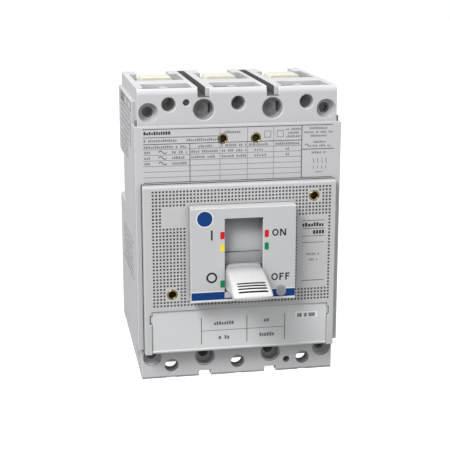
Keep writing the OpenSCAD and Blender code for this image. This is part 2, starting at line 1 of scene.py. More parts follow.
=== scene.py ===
"""A three-pole moulded-case circuit breaker, built over its CAD pieces.

The breaker stands upright: +Z is up, X runs across the three poles and the front faces -Y.
Sizes are in millimetres unless a comment says metres. "Depth" is the distance in front of
Y = 0, so a depth of 71.2 lies at Y = -71.2. Materials and Blender settings use metres.
"""
import bpy, bmesh, math, random
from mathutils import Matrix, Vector

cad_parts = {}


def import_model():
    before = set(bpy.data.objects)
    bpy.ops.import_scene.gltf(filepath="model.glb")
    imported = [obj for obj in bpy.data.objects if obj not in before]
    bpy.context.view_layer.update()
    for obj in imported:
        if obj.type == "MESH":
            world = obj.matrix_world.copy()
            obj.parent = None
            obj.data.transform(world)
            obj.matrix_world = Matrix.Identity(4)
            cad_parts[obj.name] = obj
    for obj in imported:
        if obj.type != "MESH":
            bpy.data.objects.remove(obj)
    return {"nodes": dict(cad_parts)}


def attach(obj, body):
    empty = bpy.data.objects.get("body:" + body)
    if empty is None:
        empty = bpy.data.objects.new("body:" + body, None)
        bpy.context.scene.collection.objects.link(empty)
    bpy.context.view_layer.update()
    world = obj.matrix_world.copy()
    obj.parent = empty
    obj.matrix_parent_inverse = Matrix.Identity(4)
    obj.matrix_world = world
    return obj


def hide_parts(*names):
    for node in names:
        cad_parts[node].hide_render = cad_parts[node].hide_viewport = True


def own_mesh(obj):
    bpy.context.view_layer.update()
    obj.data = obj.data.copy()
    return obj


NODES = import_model()["nodes"]
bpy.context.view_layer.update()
scene = bpy.context.scene
MILLI = 0.001

# ------------------------------------------------------------------ driving places
SEAM_Y = -60                    # edges shared by the front and rear shells

BORE_X, BORE_Z = 15, 55.5       # mounting holes, mirrored in X and Z
QUADRANTS = [(1, 1), (1, -1), (-1, 1), (-1, -1)]
# round openings: x, z, radius
BORES = [(sx * BORE_X, sz * BORE_Z, 4.45) for sx, sz in QUADRANTS]
CORNERS = [(sx * 38.7, sz * 54.6, 4.2) for sx, sz in QUADRANTS]
TOP_PASSAGES = [(x, 57.9, 3.0) for x in (-30, 0, 30)]
BOTTOM_PASSAGES = [(x, -59.1, 3.0) for x in (-30, 0, 30)]
SMALL_TOP = (-22.5, 58.6, 1.45)
SMALL_BOTTOM = (22.5, -59.6, 1.45)

# screw centres: x, z
COVER_SCREWS = [(-7.25, 43.1), (7.25, 43.1)]
ACCESSORY_SCREWS = [(32.5, 17.6), (-30.2, -24.1)]

# depths of the planes that carry printed marks
LABEL_DEPTH = 71.2
ACCESSORY_DEPTH = 75.4
RATING_DEPTH = 74.8
MASK_DEPTH = 82.5
FLANK_X = 45.0


# ------------------------------------------------------------------ colours
def rgb(*channels):
    """An 8-bit sRGB colour as linear values."""
    return tuple(v / 12.92 if v <= 0.04045 else ((v + 0.055) / 1.055) ** 2.4
                 for v in (c / 255.0 for c in channels))


def scaled(colour, factor):
    return tuple(min(1.0, v * factor) for v in colour) + (1.0,)


# ------------------------------------------------------------------ shader graph
MIDDLE = (0.3, 0.7)             # the part of a noise's range that holds most of its values


class Graph:
    """A material's node tree, with short calls for the nodes used here."""

    def __init__(self, name):
        self.material = bpy.data.materials.new(name)
        self.material.use_nodes = True
        self.tree = self.material.node_tree
        self.tree.nodes.clear()
        output = self.add("OutputMaterial")
        self.principled = self.add("BsdfPrincipled")
        self.feed(output.inputs["Surface"], self.principled.outputs["BSDF"])
        self.position = self.add("TexCoord").outputs["Object"]

    def feed(self, socket, value):
        """Links a socket to another node's output, or sets its value."""
        if isinstance(value, bpy.types.NodeSocket):
            self.tree.links.new(value, socket)
        else:
            socket.default_value = value

    def add(self, kind, inputs=None, **settings):
        node = self.tree.nodes.new("ShaderNode" + kind)
        for key, value in settings.items():
            setattr(node, key, value)
        for key, value in (inputs or {}).items():
            self.feed(node.inputs[key], value)
        return node

    def surface(self, inputs):
        for key, value in inputs.items():
            self.feed(self.principled.inputs[key], value)

    def coords(self, scale=(1, 1, 1), turn=(0, 0, 0)):
        return self.add("Mapping", {"Scale": scale, "Rotation": turn,
                                    "Vector": self.position}).outputs["Vector"]

    def noise(self, scale, detail=3.0, rough=0.55, vector=None, warp=0.0):
        return self.add("TexNoise", {
            "Scale": scale, "Detail": detail, "Roughness": rough, "Distortion": warp,
            "Vector": vector or self.position}).outputs["Fac"]

    def cells(self, scale):
        return self.add("TexVoronoi", {"Scale": scale,
                                       "Vector": self.position}).outputs["Distance"]

    def wave(self, scale, vector):
        return self.add("TexWave", {"Scale": scale, "Vector": vector}).outputs["Fac"]

    def span(self, value, to, over):
        """Maps the range `over` of a value onto the range `to`."""
        return self.add("MapRange", {
            "From Min": over[0], "From Max": over[1],
            "To Min": to[0], "To Max": to[1], "Value": value}).outputs["Result"]

    def maths(self, operation, first, second):
        return self.add("Math", {0: first, 1: second}, operation=operation).outputs[0]

    def mix(self, factor, first, second, blend="MIX"):
        node = self.add("Mix", data_type="RGBA", blend_type=blend)
        for key, value in (("Factor", factor), ("A", first), ("B", second)):
            socket = [s for s in node.inputs if s.name == key and s.enabled][0]
            self.feed(socket, value)
        return [s for s in node.outputs if s.enabled][0]

    def multiply_grey(self, colour, value):
        grey = self.add("CombineColor", {0: value, 1: value, 2: value}).outputs[0]
        return self.mix(1.0, colour, grey, "MULTIPLY")

    def along(self, axis):
        """Distance in metres along an axis of the object."""
        return self.add("VectorMath", {0: self.position, 1: axis},
                        operation="DOT_PRODUCT").outputs["Value"]

    def occlusion(self, distance):
        return self.add("AmbientOcclusion", {"Distance": distance}, samples=4).outputs["AO"]

    def edge(self, radius):
        """1 on flat faces, falling towards 0 within radius of an edge."""
        bevel = self.add("Bevel", {"Radius": radius}, samples=4)
        geometry = self.add("NewGeometry")
        return self.add("VectorMath",
                        {0: bevel.outputs["Normal"], 1: geometry.outputs["Normal"]},
                        operation="DOT_PRODUCT").outputs["Value"]

    def bump(self, height, strength, distance):
        return self.add("Bump", {"Strength": strength, "Distance": distance,
                                 "Height": height}).outputs["Normal"]


# ------------------------------------------------------------------ kinds of material
def plastic(name, colour, rough, grain, bump, mottle, ao=0.0, edge=0.0, spec=0.45, coat=0.0,
            sss=0.0, reach=0.004, painted_light_ramp=None, painted_bounce_light=None):
    """Injection-moulded thermoplastic: fine spark texture and faint flow marks, with painted
    shade in the crevices and painted highlights on the edges.

    grain: texture scale; mottle: colour variation; ao, reach: strength and distance of the
    painted shade in crevices; edge: strength of the painted edge highlight; painted_light_ramp:
    painted shade and highlight along an axis; painted_bounce_light: emission by depth, painted
    bounce light in a bore.
    """
    flow = 0.35                 # share of the flow marks in the mottling
    g = Graph(name)
    broad = g.noise(scale=38.0, detail=3.0, rough=0.5)
    streak = g.noise(scale=16.0, detail=4.0, rough=0.6, vector=g.coords((1, 1, 5.0)), warp=0.6)
    shade = g.maths("ADD", g.maths("MULTIPLY", broad, 1 - flow),
                    g.maths("MULTIPLY", streak, flow))
    base = g.mix(g.span(shade, to=(0.0, 1.0), over=MIDDLE),
                 scaled(colour, 1 - mottle), scaled(colour, 1 + mottle))
    speck = g.noise(scale=grain * 0.45, detail=2.0, rough=0.5)
    base = g.mix(g.span(speck, to=(0.0, 0.035), over=(0.55, 0.75)), base, (1, 1, 1, 1))
    if ao > 0:
        # painted shade: darker where ambient occlusion finds surfaces close by
        painted_crevice_shade = g.span(g.occlusion(reach), to=(1 - ao, 1.0), over=(0.25, 0.95))
        base = g.multiply_grey(base, painted_crevice_shade)
    if painted_light_ramp:
        # painted shade towards the root and painted highlight towards the tip, along the axis
        distance = g.along(painted_light_ramp["axis"])
        base = g.multiply_grey(base, g.span(distance, **painted_light_ramp["root"]))
        base = g.multiply_grey(base, g.span(distance, **painted_light_ramp["tip"]))
    if edge > 0:
        # painted highlight: paler within a small radius of an edge
        painted_edge_highlight = g.span(g.edge(radius=0.00045), to=(edge, 0.0), over=(0.80, 0.985))
        base = g.mix(painted_edge_highlight, base, (0.93, 0.93, 0.93, 1))
    g.surface({
        "Base Color": base,
        "Roughness": g.span(g.noise(scale=210.0, detail=3.0, rough=0.6),
                            to=(rough - 0.05, rough + 0.07), over=MIDDLE),
        "Specular IOR Level": spec})
    if coat:
        g.surface({"Coat Weight": coat, "Coat Roughness": 0.25})
    if painted_bounce_light:
        # painted bounce light: the surface glows as if lit by light bounced into a narrow bore,
        # fading with the depth
        g.surface({"Emission Color": (1.0, 1.0, 1.01, 1.0),
                   "Emission Strength": g.span(g.along((0.0, -1.0, 0.0)), **painted_bounce_light)})
    if sss:
        g.surface({"Subsurface Weight": sss, "Subsurface Radius": (0.004, 0.004, 0.003),
                   "Subsurface Scale": 0.5})
    fine = g.noise(scale=grain, detail=2.0, rough=0.5)
    pits = g.cells(scale=grain * 0.6)
    height = g.maths("ADD", fine, g.maths("MULTIPLY", pits, 0.35))
    g.surface({"Normal": g.bump(height, strength=bump, distance=0.00005)})
    return g.material


def metal(name, colour, rough, dirt, brush, bump, dark, stain=60.0):
    """Plated, drawn or turned metal: fine lines along the working direction, with stains.

    brush: noise scale along X, Y, Z, lowest along the lines; dirt, dark, stain: strength,
    colour and noise scale of the stains.
    """
    g = Graph(name)
    lines = g.noise(scale=1.0, detail=4.0, rough=0.65, vector=g.coords(brush))
    patch = g.noise(scale=stain, detail=4.0, rough=0.62, warp=0.8)
    clean_metal = g.mix(g.span(lines, to=(0.0, 0.35), over=MIDDLE),
                        colour + (1.0,), scaled(colour, 0.72))
    stained = g.mix(g.span(patch, to=(0.0, dirt), over=(0.45, 0.72)),
                    clean_metal, dark + (1.0,))
    uneven = g.maths("ADD", g.span(lines, to=(-0.06, 0.1), over=MIDDLE),
                     g.span(patch, to=(0.0, 0.16), over=(0.4, 0.75)))
    g.surface({"Base Color": stained, "Metallic": 1.0,
               "Roughness": g.maths("ADD", uneven, rough),
               "Normal": g.bump(lines, strength=bump, distance=0.00002)})
    return g.material


def printed(name, colour, rough=0.5):
    """Pad-printed ink: a thin matt film with slightly uneven pigment."""
    g = Graph(name)
    pigment = g.noise(scale=900.0, detail=3.0, rough=0.6)
    g.surface({
        "Base Color": g.mix(g.span(pigment, to=(0.0, 1.0), over=(0.3, 0.75)),
                            scaled(colour, 0.92), scaled(colour, 1.1)),
        "Roughness": g.span(pigment, to=(rough - 0.06, rough + 0.1), over=MIDDLE),
        "Specular IOR Level": 0.35,
        "Normal": g.bump(pigment, strength=0.08, distance=0.00002)})
    return g.material


def braid(name):
    """Copper braid: two crossing sets of strands."""
    g = Graph(name)
    colour = rgb(196, 128, 92)
    rising = g.wave(scale=420.0, vector=g.coords(turn=(0, 0.7, 0.2)))
    falling = g.wave(scale=420.0, vector=g.coords(turn=(0, -0.7, -0.2)))
    strands = g.maths("MAXIMUM", rising, falling)
    g.surface({
        "Base Color": g.mix(g.span(strands, to=(0.0, 1.0), over=(0.25, 0.8)),
                            scaled(colour, 0.25), scaled(colour, 1.05)),
        "Metallic": 1.0,
        "Roughness": g.span(g.noise(scale=600.0), to=(0.32, 0.5), over=MIDDLE),
        "Normal": g.bump(strands, strength=0.8, distance=0.0002)})
    return g.material


def fibre(name):
    """Vulcanised fibre board with a stretched grain."""
    g = Graph(name)
    colour = rgb(205, 176, 128)
    grain = g.noise(scale=1.0, detail=5.0, rough=0.7, vector=g.coords((60, 900, 240)))
    g.surface({
        "Base Color": g.mix(g.span(grain, to=(0.0, 1.0), over=MIDDLE),
                            scaled(colour, 0.72), scaled(colour, 1.12)),
        "Roughness": g.span(grain, to=(0.6, 0.8), over=MIDDLE),
        "Normal": g.bump(grain, strength=0.4, distance=0.00008)})
    return g.material


# ------------------------------------------------------------------ the materials
# painted shade near the window and painted highlight at the tip, along the leaning handle
# (metres)
HANDLE_PAINTED_LIGHT = dict(axis=(0.0, -0.96029, -0.27899),
                   root=dict(to=(0.62, 1.0), over=(0.07882, 0.08882)),
                   tip=dict(to=(1.0, 1.36), over=(0.0985, 0.1065)))

MAT = {
    # case mouldings
    "housing": plastic("housing_plastic", rgb(206, 206, 208), rough=0.46, grain=1500,
                       bump=0.2, mottle=0.03, ao=0.34, edge=0.4, reach=0.010),
    "cover": plastic("cover_plastic", rgb(203, 203, 205), rough=0.44, grain=1700,
                     bump=0.16, mottle=0.022, ao=0.34, edge=0.6, reach=0.009),
    # painted shade: a dark copy of the cover plastic for slot walls, the slits by the bores and
    # the down-facing lower front edge
    "slot": plastic("slot_painted_shade", rgb(104, 103, 104), rough=0.5, grain=1700,
                    bump=0.16, mottle=0.03, ao=0.2),
    # painted shade: a darker copy of the cover plastic in the counterbores
    "counterbore": plastic("counterbore_painted_shade", rgb(158, 158, 160), rough=0.46, grain=1700,
                           bump=0.16, mottle=0.03, ao=0.2),
    # painted shade and painted bounce light: a darker copy whose glow grows towards the front of
    # the bores
    "bore": plastic("bore_painted_shade_and_glow", rgb(170, 170, 172), rough=0.46, grain=1700,
                    bump=0.16, mottle=0.03, painted_bounce_light=dict(to=(0.035, 0.092), over=(0.050, 0.0634))),
    # painted shade and painted bounce light: a slightly darker copy that glows in the top
    # passages and the small top hole
    "passage": plastic("passage_painted_glow", rgb(190, 190, 192), rough=0.46, grain=1700,
                       bump=0.16, mottle=0.03,
                       painted_bounce_light=dict(to=(0.012, 0.024), over=(0.050, 0.069))),
    "accessory": plastic("accessory_plastic", rgb(200, 200, 201), rough=0.42, grain=1900,
                         bump=0.14, mottle=0.02, ao=0.4, edge=0.5),
    # painted shade: a darker copy for the faces of the dimples and for the shoulder catches
    "painted_pit_shade": plastic("dimple_painted_shade", rgb(128, 128, 130), rough=0.5, grain=1900,
                   bump=0.14, mottle=0.05),
    # painted shade: a darker copy of the housing plastic for the raised flank relief
    "relief": plastic("relief_painted_shade_plastic", rgb(172, 172, 174), rough=0.46, grain=1500,
                      bump=0.2, mottle=0.03),
    # painted shade: darker still, for the relief frames and the line along the terminal end's
    # lower edge
    "relief_painted_dark": plastic("relief_painted_dark_shade_plastic", rgb(138, 138, 140), rough=0.5, grain=1500,
                           bump=0.2, mottle=0.03),
    "mask": plastic("mask_plastic", rgb(202, 203, 204), rough=0.36, grain=2200,
                    bump=0.08, mottle=0.016, ao=0.2, edge=0.6),
    "panel": plastic("panel_plastic", rgb(216, 217, 218), rough=0.4, grain=2000,
                     bump=0.1, mottle=0.02, ao=0.2, edge=0.4),
    # moving pieces seen from outside
    "toggle": plastic("toggle_plastic", rgb(206, 206, 207), rough=0.3, grain=2400,
                      bump=0.06, mottle=0.003, ao=0.42, spec=0.5, coat=0.15, reach=0.014,
                      painted_light_ramp=HANDLE_PAINTED_LIGHT),
    "shutter": plastic("shutter_plastic", rgb(178, 179, 181), rough=0.34, grain=2200,
                       bump=0.08, mottle=0.03, ao=0.08),
    "shield": plastic("shield_plastic", rgb(156, 157, 159), rough=0.38, grain=2200,
                      bump=0.08, mottle=0.025, ao=0.3),
    # painted shade: dark brass lining the threaded bores of the screws
    "thread_painted_shade": metal("threaded_bore_painted_shade", rgb(96, 84, 58), rough=0.42, dirt=0.5,
                    brush=(300, 300, 300), bump=0.3, dark=rgb(30, 26, 18)),
    "button": plastic("button_plastic", rgb(150, 151, 155), rough=0.36, grain=2200,
                      bump=0.08, mottle=0.02),
    # insulators and the black of the grooves
    "dark": plastic("dark_thermoset", rgb(46, 45, 46), rough=0.42, grain=900,
                    bump=0.25, mottle=0.16, spec=0.4),
    "cream": plastic("cream_insulator", rgb(216, 218, 203), rough=0.48, grain=1300,
                     bump=0.2, mottle=0.035, ao=0.1, sss=0.08),
    "groove": plastic("groove_black", rgb(16, 16, 17), rough=0.5, grain=1500,
                      bump=0.1, mottle=0.1),
    # metals
    "brass": metal("turned_brass", rgb(206, 184, 130), rough=0.2, dirt=0.3,
                   brush=(1500, 60, 1500), bump=0.15, dark=rgb(104, 88, 56), stain=240.0),
    "phosphate": metal("phosphated_screw", rgb(128, 129, 132), rough=0.45, dirt=0.4,
                       brush=(500, 500, 900), bump=0.2, dark=rgb(52, 52, 54)),
    "zinc": metal("zinc_plated_steel", rgb(186, 189, 194), rough=0.3, dirt=0.3,
                  brush=(400, 400, 1800), bump=0.15, dark=rgb(120, 118, 112)),
    "steel": metal("mechanism_steel", rgb(164, 167, 172), rough=0.3, dirt=0.3,
                   brush=(60, 1900, 900), bump=0.18, dark=rgb(98, 98, 100)),
    "copper": metal("rolled_copper", rgb(200, 124, 88), rough=0.28, dirt=0.45,
                    brush=(1800, 1200, 26), bump=0.15, dark=rgb(112, 62, 44)),
    "silver": metal("contact_silver", rgb(208, 206, 200), rough=0.34, dirt=0.35,
                    brush=(700, 700, 700), bump=0.2, dark=rgb(120, 116, 108)),
    "arc": metal("arc_plate_steel", rgb(150, 152, 156), rough=0.36, dirt=0.45,
                 brush=(1600, 1200, 40), bump=0.22, dark=rgb(84, 82, 80)),
    "iron": metal("magnet_iron", rgb(120, 122, 126), rough=0.4, dirt=0.4,
                  brush=(40, 1300, 1300), bump=0.2, dark=rgb(70, 66, 62)),
    "bimetal": metal("bimetal_strip", rgb(170, 160, 140), rough=0.3, dirt=0.3,
                     brush=(1700, 1700, 30), bump=0.15, dark=rgb(116, 100, 78)),
    "spring": metal("spring_steel", rgb(174, 178, 184), rough=0.24, dirt=0.25,
                    brush=(900, 900, 900), bump=0.12, dark=rgb(88, 88, 90)),
    "braid": braid("braided_copper"),
    "fibre": fibre("vulcanised_fibre"),
    # inks
    "ink": printed("grey_ink", rgb(104, 105, 109)),
    "ink_mid": printed("mid_grey_ink", rgb(84, 85, 89)),
    "ink_soft": printed("pale_grey_ink", rgb(134, 135, 139)),
    "ink_dark": printed("dark_ink", rgb(44, 45, 49)),
    "blue": printed("blue_ink", rgb(0, 60, 126), rough=0.42),
    "red": printed("red_ink", rgb(214, 24, 36), rough=0.42),
    "yellow": printed("yellow_ink", rgb(248, 226, 52), rough=0.42),
    "green": printed("green_ink", rgb(10, 132, 82), rough=0.42),
    "white": printed("white_ink", rgb(236, 238, 242), rough=0.4),
}


# ------------------------------------------------------------------ mesh tools
def at(x, depth, z):
    """A place in millimetres as scene coordinates."""
    return (x * MILLI, -depth * MILLI, z * MILLI)


def link_mesh(name, mesh):
    piece = bpy.data.objects.new(name, mesh)
    scene.collection.objects.link(piece)
    return piece


def object_from(name, edit):
    """Turns an edit mesh into an object with its faces pointing outwards."""
    bmesh.ops.recalc_face_normals(edit, faces=edit.faces[:])
    mesh = bpy.data.meshes.new(name)
    edit.to_mesh(mesh)
    edit.free()
    return link_mesh(name, mesh)


def modify(piece, name, kind, **settings):
    modifier = piece.modifiers.new(name, kind)
    for key, value in settings.items():
        setattr(modifier, key, value)


def bake(piece):
    """Applies the modifiers of an object this script made."""
    graph = bpy.context.evaluated_depsgraph_get()
    mesh = bpy.data.meshes.new_from_object(piece.evaluated_get(graph),
                                           preserve_all_data_layers=True, depsgraph=graph)
    old = piece.data
    piece.modifiers.clear()
    piece.data = mesh
    mesh.name = piece.name
    if old.users == 0:
        bpy.data.meshes.remove(old)


def cut(piece, cutter):
    """Subtracts the cutter, whose material stays on the cut faces, and removes it."""
    modify(piece, "cut", "BOOLEAN", operation="DIFFERENCE", object=cutter,
           solver="EXACT", material_mode="TRANSFER")
    bake(piece)
    bpy.data.objects.remove(cutter)


def prism(edit, top, bottom):
    """Closes two matching outlines into a solid."""
    edit.faces.new(top)
    edit.faces.new(list(reversed(bottom)))
    for i in range(len(top)):
        j = (i + 1) % len(top)
        edit.faces.new((top[i], bottom[i], bottom[j], top[j]))


def loft(edit, sections):
    """Skins a row of matching closed sections and caps both ends."""
    for a, b in zip(sections, sections[1:]):
        for i in range(len(a)):
            j = (i + 1) % len(a)
            edit.faces.new((a[i], a[j], b[j], b[i]))
    edit.faces.new(sections[0])
    edit.faces.new(list(reversed(sections[-1])))


def box(name, corners):
    """A box from eight corners, listed with x slowest and z fastest."""
    edit = bmesh.new()
    verts = [edit.verts.new(corner) for corner in corners]
    for face in ((0, 1, 3, 2), (4, 6, 7, 5), (0, 4, 5, 1),
                 (2, 3, 7, 6), (0, 2, 6, 4), (1, 5, 7, 3)):
        edit.faces.new([verts[i] for i in face])
    return object_from(name, edit)


def cad_mesh(node):
    """A CAD piece welded, with its flat areas merged into single faces."""
    edit = bmesh.new()
    edit.from_mesh(NODES[node].data)
    bmesh.ops.remove_doubles(edit, verts=edit.verts[:], dist=3e-6)
    bmesh.ops.dissolve_limit(edit, angle_limit=math.radians(0.6), use_dissolve_boundaries=False,
                             verts=edit.verts[:], edges=edit.edges[:])
    edit.normal_update()
    return edit


def edge_radii(edit, rule):
    """Radius of every edge the rule rounds, kept short of its neighbours' lengths."""
    radii = {}
    for edge in edit.edges:
        if len(edge.link_faces) != 2 or edge.calc_face_angle(0.0) < math.radians(30.0):
            continue
        mid = (edge.verts[0].co + edge.verts[1].co) * 500.0
        radius = rule(mid, edge.is_convex)
        if radius > 0:
            radii[edge] = radius
    for edge in radii:
        run = (edge.verts[1].co - edge.verts[0].co).normalized()
        for vert, sign in ((edge.verts[0], 1.0), (edge.verts[1], -1.0)):
            for other in vert.link_edges:
                if other is edge or len(other.link_faces) != 2:
                    continue
                if other.calc_face_angle(0.0) < math.radians(4):
                    continue
                reach = other.other_vert(vert).co - vert.co
                # the continuation of the same edge sets no limit
                if reach.length < 1e-9 or reach.normalized().dot(run * sign) < -0.8:
                    continue
                radii[edge] = min(radii[edge], 0.42 * reach.length * 1000.0)
    return radii


def clean(piece):
    edit = bmesh.new()
    edit.from_mesh(piece.data)
    bmesh.ops.remove_doubles(edit, verts=edit.verts[:], dist=2e-6)
    bmesh.ops.dissolve_degenerate(edit, dist=1e-6, edges=edit.edges[:])
    loose = [v for v in edit.verts if not v.link_faces]
    if loose:
        bmesh.ops.delete(edit, geom=loose, context="VERTS")
    edit.normal_update()
    edit.to_mesh(piece.data)
    edit.free()


def rounded(name, node, rule, widest, segments=3):
    """The CAD piece with every edge rounded by the radius its rule returns."""
    edit = cad_mesh(node)
    layers = edit.edges.layers.float
    weight = layers.get("bevel_weight_edge") or layers.new("bevel_weight_edge")
    for edge, radius in edge_radii(edit, rule).items():
        edge[weight] = min(1.0, radius / widest)
    mesh = bpy.data.meshes.new(name)
    edit.to_mesh(mesh)
    edit.free()
    piece = link_mesh(name, mesh)
    modify(piece, "edges", "BEVEL", limit_method="WEIGHT", width=widest * MILLI,
           segments=segments, profile=0.5, use_clamp_overlap=False, loop_slide=True)
    bake(piece)
    clean(piece)
    return piece


def set_materials(piece, materials):
    """Fills the slots; the faces keep their material numbers where there are several."""
    last = len(materials) - 1
    numbers = [min(p.material_index, last) for p in piece.data.polygons]
    piece.data.materials.clear()
    for material in materials:
        piece.data.materials.append(material)
    piece.data.polygons.foreach_set("material_index", numbers)


def place(piece, materials=(), node=None, body="case", angle=33):
    """Gives a piece its materials and smooth shading, and attaches it to its body.

    materials: keys of MAT, left out when a cut has already brought them in.
    """
    if materials:
        set_materials(piece, [MAT[key] for key in materials])
    for polygon in piece.data.polygons:
        polygon.use_smooth = True
    piece.data.set_sharp_from_angle(angle=math.radians(angle))
    modify(piece, "normals", "WEIGHTED_NORMAL", keep_sharp=True, weight=80)
    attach(piece, body)
    if node:
        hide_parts(node)


# ------------------------------------------------------------------ edge radii of the CAD pieces
# A rule takes an edge's middle and whether it is convex, and returns a radius; 0 is sharp.
def on_circle(point, circle, tolerance=0.25):
    x, z, radius = circle
    return abs(math.hypot(point.x - x, point.z - z) - radius) < tolerance


def near(x, z, spots, reach):
    return any(math.hypot(x - spot[0], z - spot[1]) < reach for spot in spots)


def even(radius):
    return lambda mid, convex: radius if convex else 0.0


def opening_radius(mid):
    """Radius of a rim on the front of the terminal ends, or None away from the openings."""
    upper = mid.z > 0
    for circles, radius in ((TOP_PASSAGES + BOTTOM_PASSAGES, 0.55),
                            (BORES, 0.6 if upper else 0.35),
                            (CORNERS, 0.24 if upper else 0.1),
                            ((SMALL_TOP, SMALL_BOTTOM), 0.35)):
        if any(on_circle(mid, circle) for circle in circles):
            return radius
    return None


def front_rule(mid, convex):
    if mid.y > -68.4 and near(mid.x, mid.z, BORES + CORNERS, 5.3):
        return 0.0
    if -69.5 < mid.y < -68.5 and convex:
        radius = opening_radius(mid)
        if radius is not None:
            return radius
    if not convex:
        if abs(mid.z + 50.2) < 0.4:
            return 0.0
        return 0.25 if mid.y < -62 else 0.0
    if abs(mid.x) > 43.4 and 30 < mid.z < 34.2 and -71.0 < mid.y < -69.3:
        return 0.0
    if mid.y < -70.8:
        if abs(mid.x) > 44.5:
            return 0.3
        return 0.2 if near(mid.x, mid.z, COVER_SCREWS, 3) else 0.35
    if abs(mid.x) > 43.2:
        end_or_rear = abs(mid.z) > 62.2 or mid.y > -68.5
        return 0.2 if end_or_rear and abs(mid.y - SEAM_Y) <= 1 else 0.3
    return 0.15 if abs(mid.y - SEAM_Y) < 0.6 else 0.3


def rear_rule(mid, convex):
    if not convex or near(mid.x, mid.z, BORES, 2.6):
        return 0.0
    if abs(mid.y - SEAM_Y) < 0.4:
        return 0.15
    if mid.y > -1 and (abs(mid.x) > 43 or abs(mid.z) > 55):
        return 0.6
    if abs(mid.x) > 43.2 and abs(mid.z) > 60:
        return 0.6
    return 0.5 if abs(mid.x) > 44.8 else 0.25


def accessory_rule(mid, convex):
    if not convex:
        return 0.2 if mid.y < -70 else 0.0
    if mid.y < -75.2:
        if abs(mid.x) > 42.2:
            return 0.6
        if abs(mid.x) < 23 and -26 < mid.z < 16:
            return 0.2
        return 0.25 if near(mid.x, mid.z, ACCESSORY_SCREWS, 3) else 0.35
    return 0.5 if abs(mid.x) > 42.2 else 0.15


def mask_rule(mid, convex):
    if not convex:
        return 0.25 if mid.y < -81 else 0.0
    if mid.y < -82.3:
        if mid.z > 15.1:
            return 0.5
        if abs(mid.x) > 22.4 or mid.z < -25:
            return 0.25
        return 0.2 if near(mid.x, mid.z, [(16.4, -22.5)], 3) else 0.3
    return 0.3 if mid.y < -76 and abs(mid.x) > 22.4 else 0.12


def panel_rule(mid, convex):
    if not convex:
        return 0.0
    return 0.25 if mid.y < -74 else 0.15


# ------------------------------------------------------------------ case shells
OUTSIDE, PAINTED_SHADE_FACE, COUNTERBORE, BORE, PASSAGE = range(5)
SHELL_EXTRAS = ["slot", "counterbore", "bore", "passage"]


def shell_part(centre, normal):
    """Which part of a shell a face belongs to, from its centre and normal."""
    x, y, z = centre
    # painted shade on the walls of the barrier slots on top
    if z > 60.6 and -69.45 < y < -3.5 and (12.5 < x < 15.9 or -17.5 < x < -14.1):
        return PAINTED_SHADE_FACE
    # painted shade on the down-facing bevel of the lower front edge
    if z < -64.3 and normal.z < -0.3 and normal.y < -0.3:
        return PAINTED_SHADE_FACE
    if z < 0:
        return OUTSIDE
    wall = abs(normal.y) < 0.5      # the face runs from front to back
    for bore_x in (BORE_X, -BORE_X):
        distance = math.hypot(x - bore_x, z - BORE_Z)
        # bore walls: painted shade and painted bounce light
        if distance < 2.45 and wall:
            return BORE
        # painted shade in the slit beside each bore
        if (-64.05 < y < -62.1 and 2.5 < x - bore_x < 3.6 and abs(z - BORE_Z) < 2.3
                and abs(y + 63.4) > 0.1):
            return PAINTED_SHADE_FACE
        # counterbores: painted shade
        if distance < 4.35 and -67.7 < y < -63.2:
            return COUNTERBORE
    # passage walls: painted bounce light
    if wall and (any(on_circle(centre, circle) for circle in TOP_PASSAGES)
                 or on_circle(centre, SMALL_TOP, tolerance=0.2)):
        return PASSAGE
    return OUTSIDE


def case_shell(name, node, rule, widest, segments, key):
    shell = rounded(name, node, rule, widest, segments)
    for face in shell.data.polygons:
        face.material_index = shell_part(face.center * 1000.0, face.normal)
    place(shell, [key] + SHELL_EXTRAS, node)


# front part of the handle mask, in metres
MASK_CUT_Y = -0.07547           # an extra edge loop is cut here
MASK_FRONT_Y = -0.0756          # everything in front of this is widened
MASK_LEFT_X, MASK_LEFT_SHIFT = -0.0218, 0.00052
MASK_RIGHT_X, MASK_RIGHT_SHIFT = 0.0218, 0.00012
MASK_LOW_Z, MASK_LOW_SHIFT = -0.0246, 0.00078


def handle_mask():
    mask = rounded("handle_mask_shell", "handle_mask", mask_rule, widest=0.55, segments=4)
    edit = bmesh.new()
    edit.from_mesh(mask.data)
    bmesh.ops.bisect_plane(edit, geom=edit.verts[:] + edit.edges[:] + edit.faces[:], dist=1e-7,
                           plane_co=(0, MASK_CUT_Y, 0), plane_no=(0, 1, 0))
    for vert in edit.verts:
        if vert.co.y < MASK_FRONT_Y:
            if vert.co.x < MASK_LEFT_X:
                vert.co.x -= MASK_LEFT_SHIFT
            elif vert.co.x > MASK_RIGHT_X:
                vert.co.x += MASK_RIGHT_SHIFT
            if vert.co.z < MASK_LOW_Z:
                vert.co.z -= MASK_LOW_SHIFT
    edit.normal_update()
    edit.to_mesh(mask.data)
    edit.free()
    place(mask, ["mask"], "handle_mask")


def window_sill():
    """Bar that closes the mask's window below the handle."""
    sill = box("mask_window_sill", [at(x, depth, z) for x in (-8.33, 8.33)
                                    for depth in (80.75, 82.49) for z in (-24.42, -21.95)])
    modify(sill, "edges", "BEVEL", width=0.22 * MILLI, segments=3, limit_method="ANGLE")
    bake(sill)
    place(sill, ["mask"])


# ------------------------------------------------------------------ accessory cover
DIMPLE_COLUMNS, DIMPLE_ROWS = 53, 35
DIMPLE_LEFT, DIMPLE_PITCH_X = -38.2, 1.494
DIMPLE_TOP, DIMPLE_PITCH_Z = 21.7, 1.491
DIMPLE_MOUTH = (0.48, 75.6)     # half width, depth
DIMPLE_FLOOR = (0.34, 74.7)


